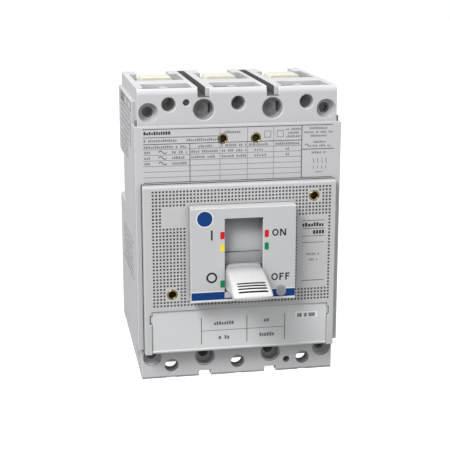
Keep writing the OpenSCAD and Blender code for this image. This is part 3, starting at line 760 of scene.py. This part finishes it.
def dimple_here(x, z):
    """Leaves out the mask, both screws and three plain fields."""
    return not (abs(x) < 24.0 and -26.6 < z < 16.9
                or near(x, z, ACCESSORY_SCREWS, 3.3)
                or 25.6 < x <= 38.9 and -23.2 < z < 9.0
                or -33.9 < x < -24.6 and 5.7 < z < 15.2)


def dimple_cutter():
    edit = bmesh.new()
    for i in range(DIMPLE_COLUMNS):
        for j in range(DIMPLE_ROWS):
            x = DIMPLE_LEFT + DIMPLE_PITCH_X * i
            z = DIMPLE_TOP - DIMPLE_PITCH_Z * j
            if dimple_here(x, z):
                prism(edit, *[[edit.verts.new(at(x + a * half, depth, z + b * half))
                               for a, b in ((-1, -1), (1, -1), (1, 1), (-1, 1))]
                              for half, depth in (DIMPLE_MOUTH, DIMPLE_FLOOR)])
    cutter = object_from("dimple_cutter", edit)
    cutter.data.materials.append(MAT["painted_pit_shade"])
    return cutter


def accessory_cover():
    """Cover with its field of small moulded dimples cut as real pits, whose cut faces take a
    darker colour as painted shade.
    """
    cover = rounded("accessory_cover_shell", "accessory_cover", accessory_rule, widest=0.6)
    cover.data.materials.append(MAT["accessory"])
    cut(cover, dimple_cutter())
    place(cover, node="accessory_cover", angle=28)


# ------------------------------------------------------------------ brass screws
def lathe(edit, centre_x, centre_z, profile, sides=48):
    """Closed solid turned about a line along Y. The profile holds (radius, depth, material),
    axis to axis."""
    rings = []
    for radius, depth, _ in profile:
        if radius < 1e-6:
            rings.append([edit.verts.new(at(centre_x, depth, centre_z))])
            continue
        angles = [2 * math.pi * i / sides for i in range(sides)]
        rings.append([edit.verts.new(at(centre_x + radius * math.cos(angle), depth,
                                        centre_z + radius * math.sin(angle)))
                      for angle in angles])
    for a, b, (_, _, material) in zip(rings, rings[1:], profile[1:]):
        for i in range(sides):
            j = (i + 1) % sides
            if len(a) == 1:
                face = edit.faces.new((a[0], b[i], b[j]))
            elif len(b) == 1:
                face = edit.faces.new((a[i], b[0], a[j]))
            else:
                face = edit.faces.new((a[i], b[i], b[j], a[j]))
            face.material_index = material


def brass_screws(name, node, spots, head, under, front, shank, shank_end, thread_depth):
    """Round-headed screws with a threaded bore. head and shank are radii; under, front and
    shank_end are depths; thread_depth is measured in from the front."""
    bore = 1.72
    plain, threaded = 0, 1
    profile = [(radius, depth, plain) for radius, depth in (
        (0, shank_end), (shank, shank_end), (shank, under), (head - 0.2, under),
        (head, under + 0.2), (head, front - 0.22), (head - 0.08, front - 0.07),
        (head - 0.24, front), (bore + 0.12, front), (bore, front - 0.1), (bore, front - 0.3))]
    crest = bore - 0.16
    depth = front - 0.45
    while depth > front - thread_depth:
        profile += [(crest, depth, threaded), (bore, depth - 0.2, threaded)]
        depth -= 0.4
    profile += [(crest, front - thread_depth - 0.2, threaded),
                (0, front - thread_depth - 0.3, threaded)]
    edit = bmesh.new()
    for x, z in spots:
        lathe(edit, x, z, profile)
    place(object_from(name, edit), ["brass", "thread_painted_shade"], node, angle=50)


# ------------------------------------------------------------------ toggle
LEAN = math.radians(16.2)
PIVOT_DEPTH, PIVOT_Z = 48.0, -6.2

# closed side outline (along the handle, above it), counter-clockwise
PADDLE_OUTLINE = [
    (31.3, -6.0), (33.6, -6.1), (36.0, -5.5), (45.0, -2.2), (54.6, 1.3),        # underside
    (56.6, 2.2), (57.6, 3.4), (57.8, 4.9), (56.9, 6.0), (55.4, 6.62),           # nose
    (53.0, 7.02), (50.0, 7.22), (46.5, 7.2), (42.0, 6.85), (38.0, 6.3),         # top
    (35.4, 5.75), (34.3, 5.4), (33.6, 5.45), (33.0, 5.75), (32.3, 5.85),        # lip
    (31.5, 5.4), (31.0, 4.0), (31.0, -4.0)]                                     # root
ROOT_HALF, TIP_HALF = 8.15, 8.5     # half widths
PADDLE_EDGE = 1.5                   # radius of the long edges
CROWN, CROWN_TIP = 0.75, 0.55       # fall of the top at its sides, and what the tip adds


def on_toggle(x, along, above):
    """A place in the toggle's own frame, turned to the resting position."""
    depth = PIVOT_DEPTH + along * math.cos(LEAN) + above * math.sin(LEAN)
    z = PIVOT_Z - along * math.sin(LEAN) + above * math.cos(LEAN)
    return Vector(at(x, depth, z))


def corner_cut(points, times):
    """Rounds a closed outline by cutting its corners at a quarter of each side."""
    for _ in range(times):
        finer = []
        for a, b in zip(points, points[1:] + points[:1]):
            finer.append((a[0] * 0.75 + b[0] * 0.25, a[1] * 0.75 + b[1] * 0.25))
            finer.append((a[0] * 0.25 + b[0] * 0.75, a[1] * 0.25 + b[1] * 0.75))
        points = finer
    return points


def outward(points):
    """Outward normals of a counter-clockwise outline."""
    normals = []
    for i in range(len(points)):
        a, b = points[i - 1], points[(i + 1) % len(points)]
        run, rise = b[0] - a[0], b[1] - a[1]
        length = math.hypot(run, rise)
        normals.append((rise / length, -run / length))
    return normals


def smoothstep(low, high, value):
    t = max(0.0, min(1.0, (value - low) / (high - low)))
    return t * t * (3 - 2 * t)


def paddle_blank():
    """The handle without grooves: its outline repeated across the width, drawn in at the
    sides to round the long edges."""
    outline = corner_cut(PADDLE_OUTLINE, 2)
    normals = outward(outline)
    arc = [(PADDLE_EDGE * (1 - math.sin(math.radians(15 * k))),
            PADDLE_EDGE * (1 - math.cos(math.radians(15 * k)))) for k in range(7)]
    # inset of the outline, share of the half width, offset in X
    columns = ([(inset, -1, offset) for inset, offset in arc]
               + [(0.0, share, 0.0) for share in (-0.62, -0.4, -0.2, 0.0, 0.2, 0.4, 0.62)]
               + [(inset, 1, -offset) for inset, offset in reversed(arc)])
    edit = bmesh.new()
    sections = []
    for inset, share, offset in columns:
        section = []
        for (along, above), (normal_along, normal_above) in zip(outline, normals):
            half = ROOT_HALF + (TIP_HALF - ROOT_HALF) * smoothstep(40, 56, along)
            x = share * half + offset
            q = x / TIP_HALF
            new_along, new_above = along - normal_along * inset, above - normal_above * inset
            topness = max(0.0, normal_above)
            crown = CROWN + CROWN_TIP * smoothstep(36, 52, along)
            new_above -= crown * q * q * topness
            # the tip curves back and down towards its corners
            new_along -= 1.1 * q * q * smoothstep(48, 57, along)
            new_above -= 0.25 * q * q * smoothstep(50, 57, along) * (1 - topness)
            section.append(edit.verts.new(on_toggle(x, new_along, new_above)))
        sections.append(section)
    loft(edit, sections)
    return object_from("toggle_paddle", edit)


def groove_cutter():
    """Four bowed grooves across the top, tapering at both ends."""
    pitch, steps = 1.78, 24
    edit = bmesh.new()
    for groove in range(4):
        start = 49.95 + pitch * groove
        half_length = 6.25 + 0.07 * groove
        sections = []
        for i in range(steps + 1):
            s = -1 + 2 * i / float(steps)
            x = half_length * s
            along = start + 0.75 * (1 - s * s) - 0.2
            taper = min(1.0, (1 - abs(s)) * 9 + 0.25)
            half = 0.55 * taper
            floor = -1.15 * taper
            q = x / TIP_HALF
            surface = 7.0 - 0.35 * smoothstep(50, 56, along) - (CROWN + CROWN_TIP) * q * q
            sections.append([
                edit.verts.new(on_toggle(x, along + shift, surface + rise))
                for shift, rise in ((-half, 1.4), (half, 1.4),
                                    (half * 0.8, floor), (-half * 0.8, floor))])
        loft(edit, sections)
    cutter = object_from("groove_cutter", edit)
    cutter.data.materials.append(MAT["groove"])
    return cutter


def shade_smooth(piece):
    for polygon in piece.data.polygons:
        polygon.use_smooth = True


def toggle_paddle():
    paddle = paddle_blank()
    paddle.data.materials.append(MAT["toggle"])
    uncut = link_mesh("paddle_uncut", paddle.data.copy())
    shade_smooth(uncut)
    cut(paddle, groove_cutter())
    shade_smooth(paddle)
    # the uncut surface's normals keep the top smooth around the grooves
    modify(paddle, "surface", "DATA_TRANSFER", object=uncut, use_loop_data=True,
           data_types_loops={"CUSTOM_NORMAL"}, loop_mapping="POLYINTERP_NEAREST")
    bake(paddle)
    bpy.data.objects.remove(uncut)
    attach(paddle, "toggle")


def toggle_carrier():
    """Pivots, legs, base block and curved shield: the CAD toggle without its paddle."""
    carrier = rounded("toggle_carrier", "toggle", even(0.0), widest=0.3, segments=2)
    cut(carrier, box("paddle_cutter", [on_toggle(x, along, above) for x in (-14, 14)
                                       for along in (31.85, 75) for above in (-20, 20)]))
    place(carrier, ["shield"], "toggle", body="toggle")


# ------------------------------------------------------------------ evenly rounded pieces
# name, CAD piece, material, radius, slot
TERMINAL_PIECES = [
    ("line_holder_set", "line_nut_holders", "cream", 0.4, "cream_insulator"),
    ("load_holder_set", "load_nut_holders", "cream", 0.4, "cream_insulator"),
    ("terminal_screw_set", "terminal_screws", "zinc", 0.35, "zinc_steel"),
    ("terminal_washer_set", "terminal_washers", "zinc", 0.2, "zinc_steel"),
    ("terminal_nut_set", "terminal_nuts", "zinc", 0.2, "zinc_steel")]


def even_piece(name, node, key, radius, slot, body="case", segments=3):
    piece = rounded(name, node, even(radius), radius, segments)
    place(piece, [key], node, body)


def trip_button_coil():
    """Return spring of the trip button."""
    coil = link_mesh("trip_button_coil", NODES["button_spring"].data.copy())
    modify(coil, "weld", "WELD", merge_threshold=3e-6)
    modify(coil, "round", "SUBSURF", levels=1, render_levels=1)
    bake(coil)
    place(coil, ["spring"], "button_spring", angle=60)
    # a plain mesh of its own, without modifiers
    coil.modifiers.clear()
    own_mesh(coil)


# ------------------------------------------------------------------ CAD pieces kept inside
def poles(name):
    return [name + "_" + pole for pole in ("left", "centre", "right")]


# material, edge radius (None: a wire, subdivided), CAD pieces
INSIDE = [
    ("copper", 0.25, poles("line_conductor") + poles("load_conductor") + poles("contact_arm")),
    ("silver", 0.2, ["fixed_contacts", "moving_contacts"]),
    ("dark", 0.3, ["crossbar", "trip_bar"]),
    ("steel", 0.15, ["mechanism_frame", "cradle", "upper_links", "lower_links", "latch_plate"]),
    ("zinc", 0.2, ["frame_rods", "toggle_pins", "cradle_pin", "knee_pin", "drive_pin",
                   "arm_pins", "armature_pins", "spring_bar"]),
    ("arc", 0.12, poles("arc_plates")),
    ("fibre", 0.12, poles("arc_frame")),
    ("iron", 0.25, ["magnet_yokes"] + poles("armature")),
    ("bimetal", 0.12, poles("bimetal")),
    ("brass", 0.12, ["calibration_screws"]),
    ("braid", 0.3, ["flexible_braids"]),
    ("spring", None, ["contact_springs", "main_springs"])]


def finish_inside(piece, material, radius):
    """Dresses a CAD piece in place, with modifiers only."""
    piece.data.materials.clear()
    piece.data.materials.append(material)
    for polygon in piece.data.polygons:
        polygon.material_index = 0
        polygon.use_smooth = True
    modify(piece, "weld", "WELD", merge_threshold=3e-6)
    if radius is None:
        modify(piece, "round", "SUBSURF", levels=1, render_levels=1)
        return
    modify(piece, "planes", "DECIMATE", decimate_type="DISSOLVE",
           angle_limit=math.radians(0.6))
    modify(piece, "edges", "BEVEL", limit_method="ANGLE", angle_limit=math.radians(35),
           width=radius * MILLI, segments=2, use_clamp_overlap=True, harden_normals=False)
    modify(piece, "normals", "WEIGHTED_NORMAL", keep_sharp=False, weight=90)


# ------------------------------------------------------------------ flat marks
def ellipse(x, z, radius_x, radius_z, sides):
    angles = [2 * math.pi * i / sides for i in range(sides)]
    return [(x + radius_x * math.cos(a), z + radius_z * math.sin(a)) for a in angles]


class Marks:
    """Flat printed or moulded marks on a plane, as closed thin solids."""

    def __init__(self):
        self.outlines = []
        self.rings = []         # (outer, inner) outlines

    def rect(self, x0, x1, z0, z1):
        self.outlines.append([(x0, z0), (x1, z0), (x1, z1), (x0, z1)])

    def rects(self, table):
        """Rows are (x0, x1, z0, z1)."""
        for bounds in table:
            self.rect(*bounds)

    def soft(self, x0, x1, z0, z1, radius, steps=4):
        """Rectangle with round corners."""
        outline = []
        for x, z, start in ((x1 - radius, z0 + radius, -90), (x1 - radius, z1 - radius, 0),
                            (x0 + radius, z1 - radius, 90), (x0 + radius, z0 + radius, 180)):
            for i in range(steps + 1):
                angle = math.radians(start + 90.0 * i / steps)
                outline.append((x + radius * math.cos(angle), z + radius * math.sin(angle)))
        self.outlines.append(outline)

    def line(self, x0, z0, x1, z1, width):
        dx, dz = x1 - x0, z1 - z0
        length = math.hypot(dx, dz)
        nx, nz = -dz / length * width / 2, dx / length * width / 2
        self.outlines.append([(x0 + nx, z0 + nz), (x1 + nx, z1 + nz),
                              (x1 - nx, z1 - nz), (x0 - nx, z0 - nz)])

    def disc(self, x, z, radius, sides):
        self.outlines.append(ellipse(x, z, radius, radius, sides))

    def ring(self, x, z, radius_x, radius_z, width, sides=44):
        self.rings.append((ellipse(x, z, radius_x, radius_z, sides),
                           ellipse(x, z, radius_x - width, radius_z - width, sides)))

    def tilde(self, x, z, length, height, width, steps=14):
        points = [(x + length * (i / steps - 0.5),
                   z + height * 0.5 * math.sin(2 * math.pi * i / steps))
                  for i in range(steps + 1)]
        for a, b in zip(points, points[1:]):
            self.line(a[0], a[1], b[0], b[1], width)

    def blocks(self, x0, x1, z, height, seed, width=0.62, gap=0.3, space=0.22):
        """A row of plain blocks where a line of small print would be; it spells nothing."""
        draw = random.Random(seed)
        x = x0
        while x < x1 - width * 0.7:
            if draw.random() < space * 0.55 and x > x0:
                x += width + gap
                continue
            block = width * draw.uniform(0.75, 1.15)
            tall = height * draw.choice((1.0, 1.0, 0.82, 0.7))
            self.rect(x, min(x + block, x1), z - height / 2, z - height / 2 + tall)
            x += block + gap

    def letters(self, text, x, z, height, stroke):
        """Plain stroke letters O, N and F."""
        low, high = z - height / 2, z + height / 2
        for letter in text:
            if letter == "O":
                self.ring(x + height * 0.46, z, height * 0.46, height * 0.5, stroke)
                x += height * 1.12
            elif letter == "N":
                a = height * 0.66
                self.rect(x, x + stroke, low, high)
                self.rect(x + a, x + a + stroke, low, high)
                self.outlines.append([(x, high), (x + stroke * 1.15, high),
                                      (x + a + stroke, low),
                                      (x + a + stroke - stroke * 1.15, low)])
                x += height * 0.95
            elif letter == "F":
                self.rect(x, x + stroke, low, high)
                self.rect(x + stroke, x + height * 0.6, high - stroke, high)
                self.rect(x + stroke, x + height * 0.52, z - stroke * 0.35, z + stroke * 0.65)
                x += height * 0.82

    def build(self, name, key, depth, raised=0.035, sunk=0.03, side=None):
        """Without a side the marks lie on a front plane at this depth. With side -1 or 1 they
        lie on a flank at X = side * depth, and their first coordinate is the depth."""
        edit = bmesh.new()

        def layer(outline, level):
            if side is None:
                return [edit.verts.new(at(a, level, b)) for a, b in outline]
            return [edit.verts.new(at(side * level, a, b)) for a, b in outline]

        for outline in self.outlines:
            prism(edit, layer(outline, depth + raised), layer(outline, depth - sunk))
        for outer, inner in self.rings:
            top_out, top_in = layer(outer, depth + raised), layer(inner, depth + raised)
            low_out, low_in = layer(outer, depth - sunk), layer(inner, depth - sunk)
            for i in range(len(outer)):
                j = (i + 1) % len(outer)
                edit.faces.new((top_out[i], top_out[j], top_in[j], top_in[i]))
                edit.faces.new((low_out[j], low_out[i], low_in[i], low_in[j]))
                edit.faces.new((top_out[j], top_out[i], low_out[i], low_out[j]))
                edit.faces.new((top_in[i], top_in[j], low_in[j], low_in[i]))
        piece = object_from(name, edit)
        piece.data.materials.append(MAT[key])
        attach(piece, "case")


# ------------------------------------------------------------------ label
# x0, x1, z0, z1
LABEL_RULES = [
    (-41.7, 41.2, 47.85, 48.15), (-41.5, -9.0, 44.35, 44.6), (-41.5, 27.6, 41.45, 41.75),
    (-21.65, -21.35, 25.0, 41.6), (27.3, 27.65, 25.0, 48.0), (27.5, 42.0, 37.35, 37.65),
    (-41.5, 41.4, 24.85, 25.15)]
# x0, x1, z, height, seed
LABEL_UPPER_PRINT = [
    (-41.2, -26.5, 43.1, 1.15, 2), (-22.9, -9.6, 43.1, 1.15, 3), (-6.6, 1.8, 46.0, 1.1, 4),
    (-41.2, -22.6, 40.3, 1.05, 5), (-17.8, -11.8, 40.3, 1.05, 6), (-7.9, 3.0, 40.3, 1.05, 7),
    (4.2, 14.2, 40.3, 1.05, 8), (15.8, 26.9, 40.3, 1.05, 9)]
# x0, x1, z
LABEL_SMALL_PRINT = [
    (20.4, 27.0, 46.5), (21.2, 26.2, 44.9), (20.6, 26.8, 43.3),
    (31.0, 39.0, 46.6), (28.6, 41.6, 44.9), (31.4, 39.4, 43.3),
    (32.6, 38.4, 40.6), (32.4, 40.4, 38.9), (32.0, 38.6, 35.9)]


def label_rules():
    marks = Marks()
    marks.rects(LABEL_RULES)
    marks.build("label_rules", "ink_mid", LABEL_DEPTH)
    marks = Marks()
    for x in (-8.5, 3.5, 15.0):
        marks.rect(x - 0.09, x + 0.09, 25.0, 48.0)
    for z in (39.3, 36.9, 34.5, 32.1, 29.7, 27.3):
        marks.rect(-41.5, 27.4, z - 0.1, z + 0.1)
    marks.build("label_thin_rules", "ink_soft", LABEL_DEPTH)


def label_print():
    marks = Marks()
    marks.blocks(-41.2, -29.0, 46.3, 1.35, seed=1, width=0.8, gap=0.32, space=0.05)
    marks.build("label_heading_blocks", "ink_dark", LABEL_DEPTH)
    marks = Marks()
    for row in LABEL_UPPER_PRINT:
        marks.blocks(*row)
    for i, z in enumerate((38.0, 35.6, 33.2)):
        marks.blocks(-41.0, -38.6, z, 1.05, seed=20 + i)
        marks.blocks(-29.2, -22.7, z, 1.1, seed=30 + i, width=0.7)
        if i < 2:
            marks.blocks(-20.9, -9.2, z, 1.05, seed=40 + i)
            marks.blocks(-7.7, 3.0, z, 1.05, seed=50 + i)
            marks.blocks(6.6, 11.6, z, 1.05, seed=60 + i, width=0.6, gap=0.5)
            marks.blocks(20.4, 22.4, z, 1.05, seed=70 + i)
    for i, (x0, x1, z) in enumerate(LABEL_SMALL_PRINT):
        marks.blocks(x0, x1, z, 0.9, seed=80 + i, width=0.5, gap=0.25)
    marks.build("label_print_blocks", "ink_soft", LABEL_DEPTH)


def label_symbols():
    marks = Marks()
    for z in (38.1, 35.7, 33.3):
        marks.tilde(-33.2, z, length=3.4, height=1.2, width=0.4)
    marks.tilde(30.3, 39.2, length=2.8, height=1.1, width=0.32)
    # switch diagram
    for x in (32.8, 34.7, 36.6, 38.4):
        marks.line(x, 33.4, x, 32.2, 0.22)
        marks.line(x, 32.2, x + 0.35, 31.0, 0.22)
        marks.line(x, 30.1, x, 28.7, 0.22)
    marks.rect(33.6, 36.6, 27.2, 27.45)
    # two plain square frames where approval signs would be
    for x in (12.3, 17.9):
        for a in (-1.45, 1.27):
            marks.rect(x + a, x + a + 0.18, 43.15, 46.05)
            marks.rect(x - 1.45, x + 1.45, 44.6 + a, 44.6 + a + 0.18)
    marks.build("label_symbols", "ink", LABEL_DEPTH)


# ------------------------------------------------------------------ accessory cover marks
def accessory_marks():
    """Two short ruled fields right of the mask."""
    marks = Marks()
    for z in (6.6, 2.95, -0.4, -3.3):
        marks.rect(27.4, 37.3, z - 0.13, z + 0.13)
    marks.rect(27.4, 37.3, -20.75, -20.45)
    marks.build("accessory_rules", "ink", ACCESSORY_DEPTH)
    marks = Marks()
    marks.blocks(27.4, 37.4, 4.75, 1.75, seed=101, width=0.95, gap=0.36, space=0.04)
    marks.blocks(32.2, 37.2, 1.3, 1.6, seed=102, width=0.95, gap=0.36, space=0.02)
    marks.build("accessory_heading_blocks", "ink_dark", ACCESSORY_DEPTH)
    marks = Marks()
    marks.blocks(29.4, 35.4, -8.6, 1.0, seed=103, width=0.55)
    marks.blocks(30.6, 34.4, -11.2, 1.0, seed=104, width=0.55)
    marks.build("accessory_print_blocks", "ink_soft", ACCESSORY_DEPTH)


# ------------------------------------------------------------------ rating panel marks
# x0, x1, z, height, seed, block width
RATING_VALUES = [
    (-11.8, -2.8, -38.4, 1.5, 111, 0.85), (10.6, 12.9, -38.2, 1.4, 112, 0.85),
    (-9.8, -4.6, -45.0, 1.7, 113, 0.95), (8.6, 15.2, -44.8, 1.7, 114, 0.95)]


def rating_marks():
    marks = Marks()
    for x in (-17.5, 2.9, 20.1):
        marks.rect(x - 0.16, x + 0.16, -47.8, -35.5)
    marks.rect(-17.4, 20.1, -41.72, -41.52)
    marks.build("rating_rules", "ink", RATING_DEPTH)
    marks = Marks()
    for row in RATING_VALUES:
        marks.blocks(*row, gap=0.35, space=0.05)
    marks.build("rating_value_blocks", "ink", RATING_DEPTH)
    marks = Marks()
    marks.soft(24.9, 35.3, -38.3, -35.1, radius=0.25)
    marks.build("rating_sticker", "white", 74.6, raised=0.2, sunk=0.05)
    marks = Marks()
    for x0, x1 in ((25.7, 27.9), (28.8, 30.2), (30.9, 33.9)):
        marks.rect(x0, x1, -37.7, -35.9)
    marks.build("rating_sticker_blocks", "ink_soft", RATING_DEPTH, raised=0.03, sunk=0.02)


# ------------------------------------------------------------------ handle mask marks
MASK_LEFT, MASK_RIGHT = -22.95, 22.55   # ends of the stripe and its white lines
BADGE_X, BADGE_Z = -17.06, 10.88
# colour, then x0, x1 and middle z of each marker
POSITION_MARKERS = [
    ("red", ((-10.4, -8.55, 3.45), (8.95, 10.75, 3.5))),
    ("yellow", ((-10.4, -8.55, -2.1),)),
    ("green", ((-10.4, -8.55, -18.1), (8.95, 10.75, -2.1)))]


def mask_marks():
    """Stripe, badge, position markers and position signs."""
    marks = Marks()
    marks.soft(MASK_LEFT, -8.6, -25.0, -21.6, radius=0.1)
    marks.rect(-8.6, 8.6, -25.0, -24.5)
    marks.soft(8.6, MASK_RIGHT, -25.0, -21.6, radius=0.1)
    marks.build("mask_stripe", "blue", MASK_DEPTH, raised=0.03)
    marks = Marks()
    marks.disc(BADGE_X, BADGE_Z, 3.3, sides=48)
    marks.build("mask_badge_disc", "blue", MASK_DEPTH, raised=0.03)
    marks = Marks()
    marks.ring(BADGE_X, BADGE_Z, 3.75, 3.75, width=0.45, sides=48)
    marks.rects([(MASK_LEFT, -8.5, -21.55, -21.2), (8.5, MASK_RIGHT, -21.55, -21.2),
                 (MASK_LEFT, MASK_RIGHT, -25.75, -25.05)])
    marks.build("mask_white_lines", "white", MASK_DEPTH, raised=0.03)
    for colour, spots in POSITION_MARKERS:
        marks = Marks()
        for x0, x1, z in spots:
            marks.soft(x0, x1, z - 1.6, z + 1.6, radius=0.35)
        marks.build("marker_" + colour, colour, MASK_DEPTH, raised=0.03)
    marks = Marks()
    marks.letters("ON", 12.2, 3.8, height=3.1, stroke=0.6)
    marks.letters("OFF", 12.0, -16.0, height=3.2, stroke=0.6)
    marks.rect(-14.45, -13.7, 1.5, 5.9)
    marks.ring(-14.1, -15.1, 2.4, 2.4, width=0.82)
    marks.build("position_signs", "ink_dark", MASK_DEPTH, raised=0.03)


# ------------------------------------------------------------------ moulded relief
def flank_relief(side, label):
    # frames and hatched field of the upper relief, and the two long lines of the lower one,
    # darker as painted shade
    marks = Marks()
    marks.rects([(12, 57, 57.5, 57.85), (12, 57, 53.75, 54.1)])
    for depth in (12.0, 27.0, 42.0, 56.7):
        marks.rect(depth, depth + 0.45, 53.9, 57.7)
    for i in range(7):
        near_end, far_end = 13.5 + i * 1.9, 15.6 + i * 1.9
        marks.line(near_end, 54.0, far_end, 57.6, 0.3)
        marks.line(far_end, 54.0, near_end, 57.6, 0.3)
    marks.rects([(54.2, 54.6, 38.0, 52.4), (19, 58, -4.75, -4.4), (13, 58, -21.5, -21.15)])
    marks.build("flank_frames_" + label, "relief_painted_dark", FLANK_X, raised=0.22, sunk=0.05,
                side=side)
    marks = Marks()
    for i in range(9):
        marks.blocks(12.5, 52.5 - 1.2 * i, 52.0 - 2.55 * i, 1.5, seed=200 + i,
                     width=1.5, gap=0.7)
    for i in range(5):
        marks.blocks(16, 56, -7.4 - 2.8 * i, 1.6, seed=300 + i, width=1.6, gap=0.7)
    # the raised blocks take a darker copy of the housing plastic as painted shade
    marks.build("flank_relief_" + label, "relief", FLANK_X, raised=0.22, sunk=0.05, side=side)
    # small catch on the shoulder above the label plane, drawn dark as painted shade
    marks = Marks()
    marks.soft(66.2, 68.3, 48.8, 51.4, radius=0.2)
    marks.build("shoulder_catch_" + label, "painted_pit_shade", 43.5, raised=1.0, sunk=0.2, side=side)


def terminal_edge_lines():
    """A thin dark line along the lower edge of the terminal end, painted as the shade of the
    edge.
    """
    marks = Marks()
    for x0, x1 in ((-43.4, -18.1), (-11.9, 11.9), (18.1, 43.4)):
        marks.rect(x0, x1, -64.2, -63.92)
    marks.build("terminal_edge_lines", "relief_painted_dark", 69.0)


# ------------------------------------------------------------------ floor, light, camera (metres)
def add_floor():
    """Grey to the light it bounces, plain white to the camera."""
    mesh = bpy.data.meshes.new("floor")
    mesh.from_pydata([(-4, -4, 0), (4, -4, 0), (4, 4, 0), (-4, 4, 0)], [], [(0, 1, 2, 3)])
    floor = link_mesh("floor", mesh)
    floor.location = (0, 0, -0.19)
    g = Graph("pale_floor")
    camera_ray = g.add("LightPath").outputs["Is Camera Ray"]
    g.surface({
        "Roughness": 0.9, "Specular IOR Level": 0.1, "Emission Color": (1, 1, 1, 1),
        "Emission Strength": g.maths("MULTIPLY", camera_ray, 1.0),
        "Base Color": g.mix(g.noise(scale=3.0),
                            (0.29, 0.29, 0.29, 1), (0.31, 0.31, 0.31, 1))})
    floor.data.materials.append(g.material)


def add_world(light_strength, seen_strength):
    """White surroundings, brighter to the camera than as a light."""
    world = bpy.data.worlds.new("studio")
    scene.world = world
    world.use_nodes = True
    nodes, links = world.node_tree.nodes, world.node_tree.links
    nodes.clear()
    output = nodes.new("ShaderNodeOutputWorld")
    lighting = nodes.new("ShaderNodeBackground")
    seen = nodes.new("ShaderNodeBackground")
    switch = nodes.new("ShaderNodeMixShader")
    light_path = nodes.new("ShaderNodeLightPath")
    for background, strength in ((lighting, light_strength), (seen, seen_strength)):
        background.inputs["Color"].default_value = (1, 1, 1, 1)
        background.inputs["Strength"].default_value = strength
    links.new(light_path.outputs["Is Camera Ray"], switch.inputs[0])
    links.new(lighting.outputs[0], switch.inputs[1])
    links.new(seen.outputs[0], switch.inputs[2])
    links.new(switch.outputs[0], output.inputs["Surface"])


def add_area(name, location, target, size, power):
    light = bpy.data.lights.new(name, "AREA")
    light.energy = power
    light.shape = "RECTANGLE"
    light.size = size
    light.size_y = size
    lamp = link_mesh(name, light)
    lamp.location = location
    aim = Vector(target) - Vector(location)
    lamp.rotation_euler = aim.to_track_quat("-Z", "Y").to_euler()


def add_camera():
    lens = bpy.data.cameras.new("camera")
    lens.lens = 90.08
    lens.sensor_width = 36.0
    lens.clip_start = 0.01
    lens.clip_end = 20
    camera = link_mesh("camera", lens)
    camera.location = (-0.09161, -0.53897, 0.12349)
    # tilted down from level, turned to the right
    camera.rotation_euler = (math.pi / 2 - 0.2439, 0.0, -0.1804)
    scene.camera = camera


# ------------------------------------------------------------------ build
case_shell("rear_housing_shell", "rear_housing", rear_rule, widest=0.6, segments=3,
           key="housing")
case_shell("front_cover_shell", "front_cover", front_rule, widest=0.9, segments=4, key="cover")
handle_mask()
window_sill()
place(rounded("rating_panel_plate", "rating_panel", panel_rule, widest=0.25),
      ["panel"], "rating_panel")
accessory_cover()
brass_screws("cover_screw_pair", "cover_screws", COVER_SCREWS, head=2.25, under=66.3,
             front=71.15, shank=1.0, shank_end=66.25, thread_depth=3.4)
brass_screws("accessory_screw_pair", "accessory_screws", ACCESSORY_SCREWS, head=2.3,
             under=70.05, front=75.35, shank=1.15, shank_end=60.5, thread_depth=3.6)
even_piece("case_screw_set", "case_screws", "phosphate", 0.3, "zinc_steel")

toggle_paddle()
toggle_carrier()
even_piece("shutter_slide_plate", "shutter", "shutter", 0.2, "shutter_plastic",
           body="shutter", segments=2)
even_piece("trip_button_plunger", "trip_button", "button", 0.3, "button_plastic",
           body="trip_button")
for row in TERMINAL_PIECES:
    even_piece(*row)
trip_button_coil()
for key, radius, names in INSIDE:
    for name in names:
        finish_inside(NODES[name], MAT[key], radius)

label_rules()
label_print()
label_symbols()
accessory_marks()
rating_marks()
mask_marks()
for side, label in ((-1, "left"), (1, "right")):
    flank_relief(side, label)
terminal_edge_lines()

add_floor()
add_world(light_strength=0.66, seen_strength=1.0)
add_area("key", location=(-0.53, -0.56, 0.72), target=(0, -0.04, -0.01), size=0.42, power=8.9)
add_area("fill", location=(0.9, -0.9, 0.3), target=(0, -0.04, 0), size=0.9, power=0.5)
add_area("top", location=(0.0, 0.1, 1.0), target=(0, -0.04, 0), size=0.5, power=1.8)
add_camera()
scene.view_settings.view_transform = "Standard"
scene.view_settings.look = "None"
scene.view_settings.exposure = 0.0
scene.view_settings.gamma = 1.0
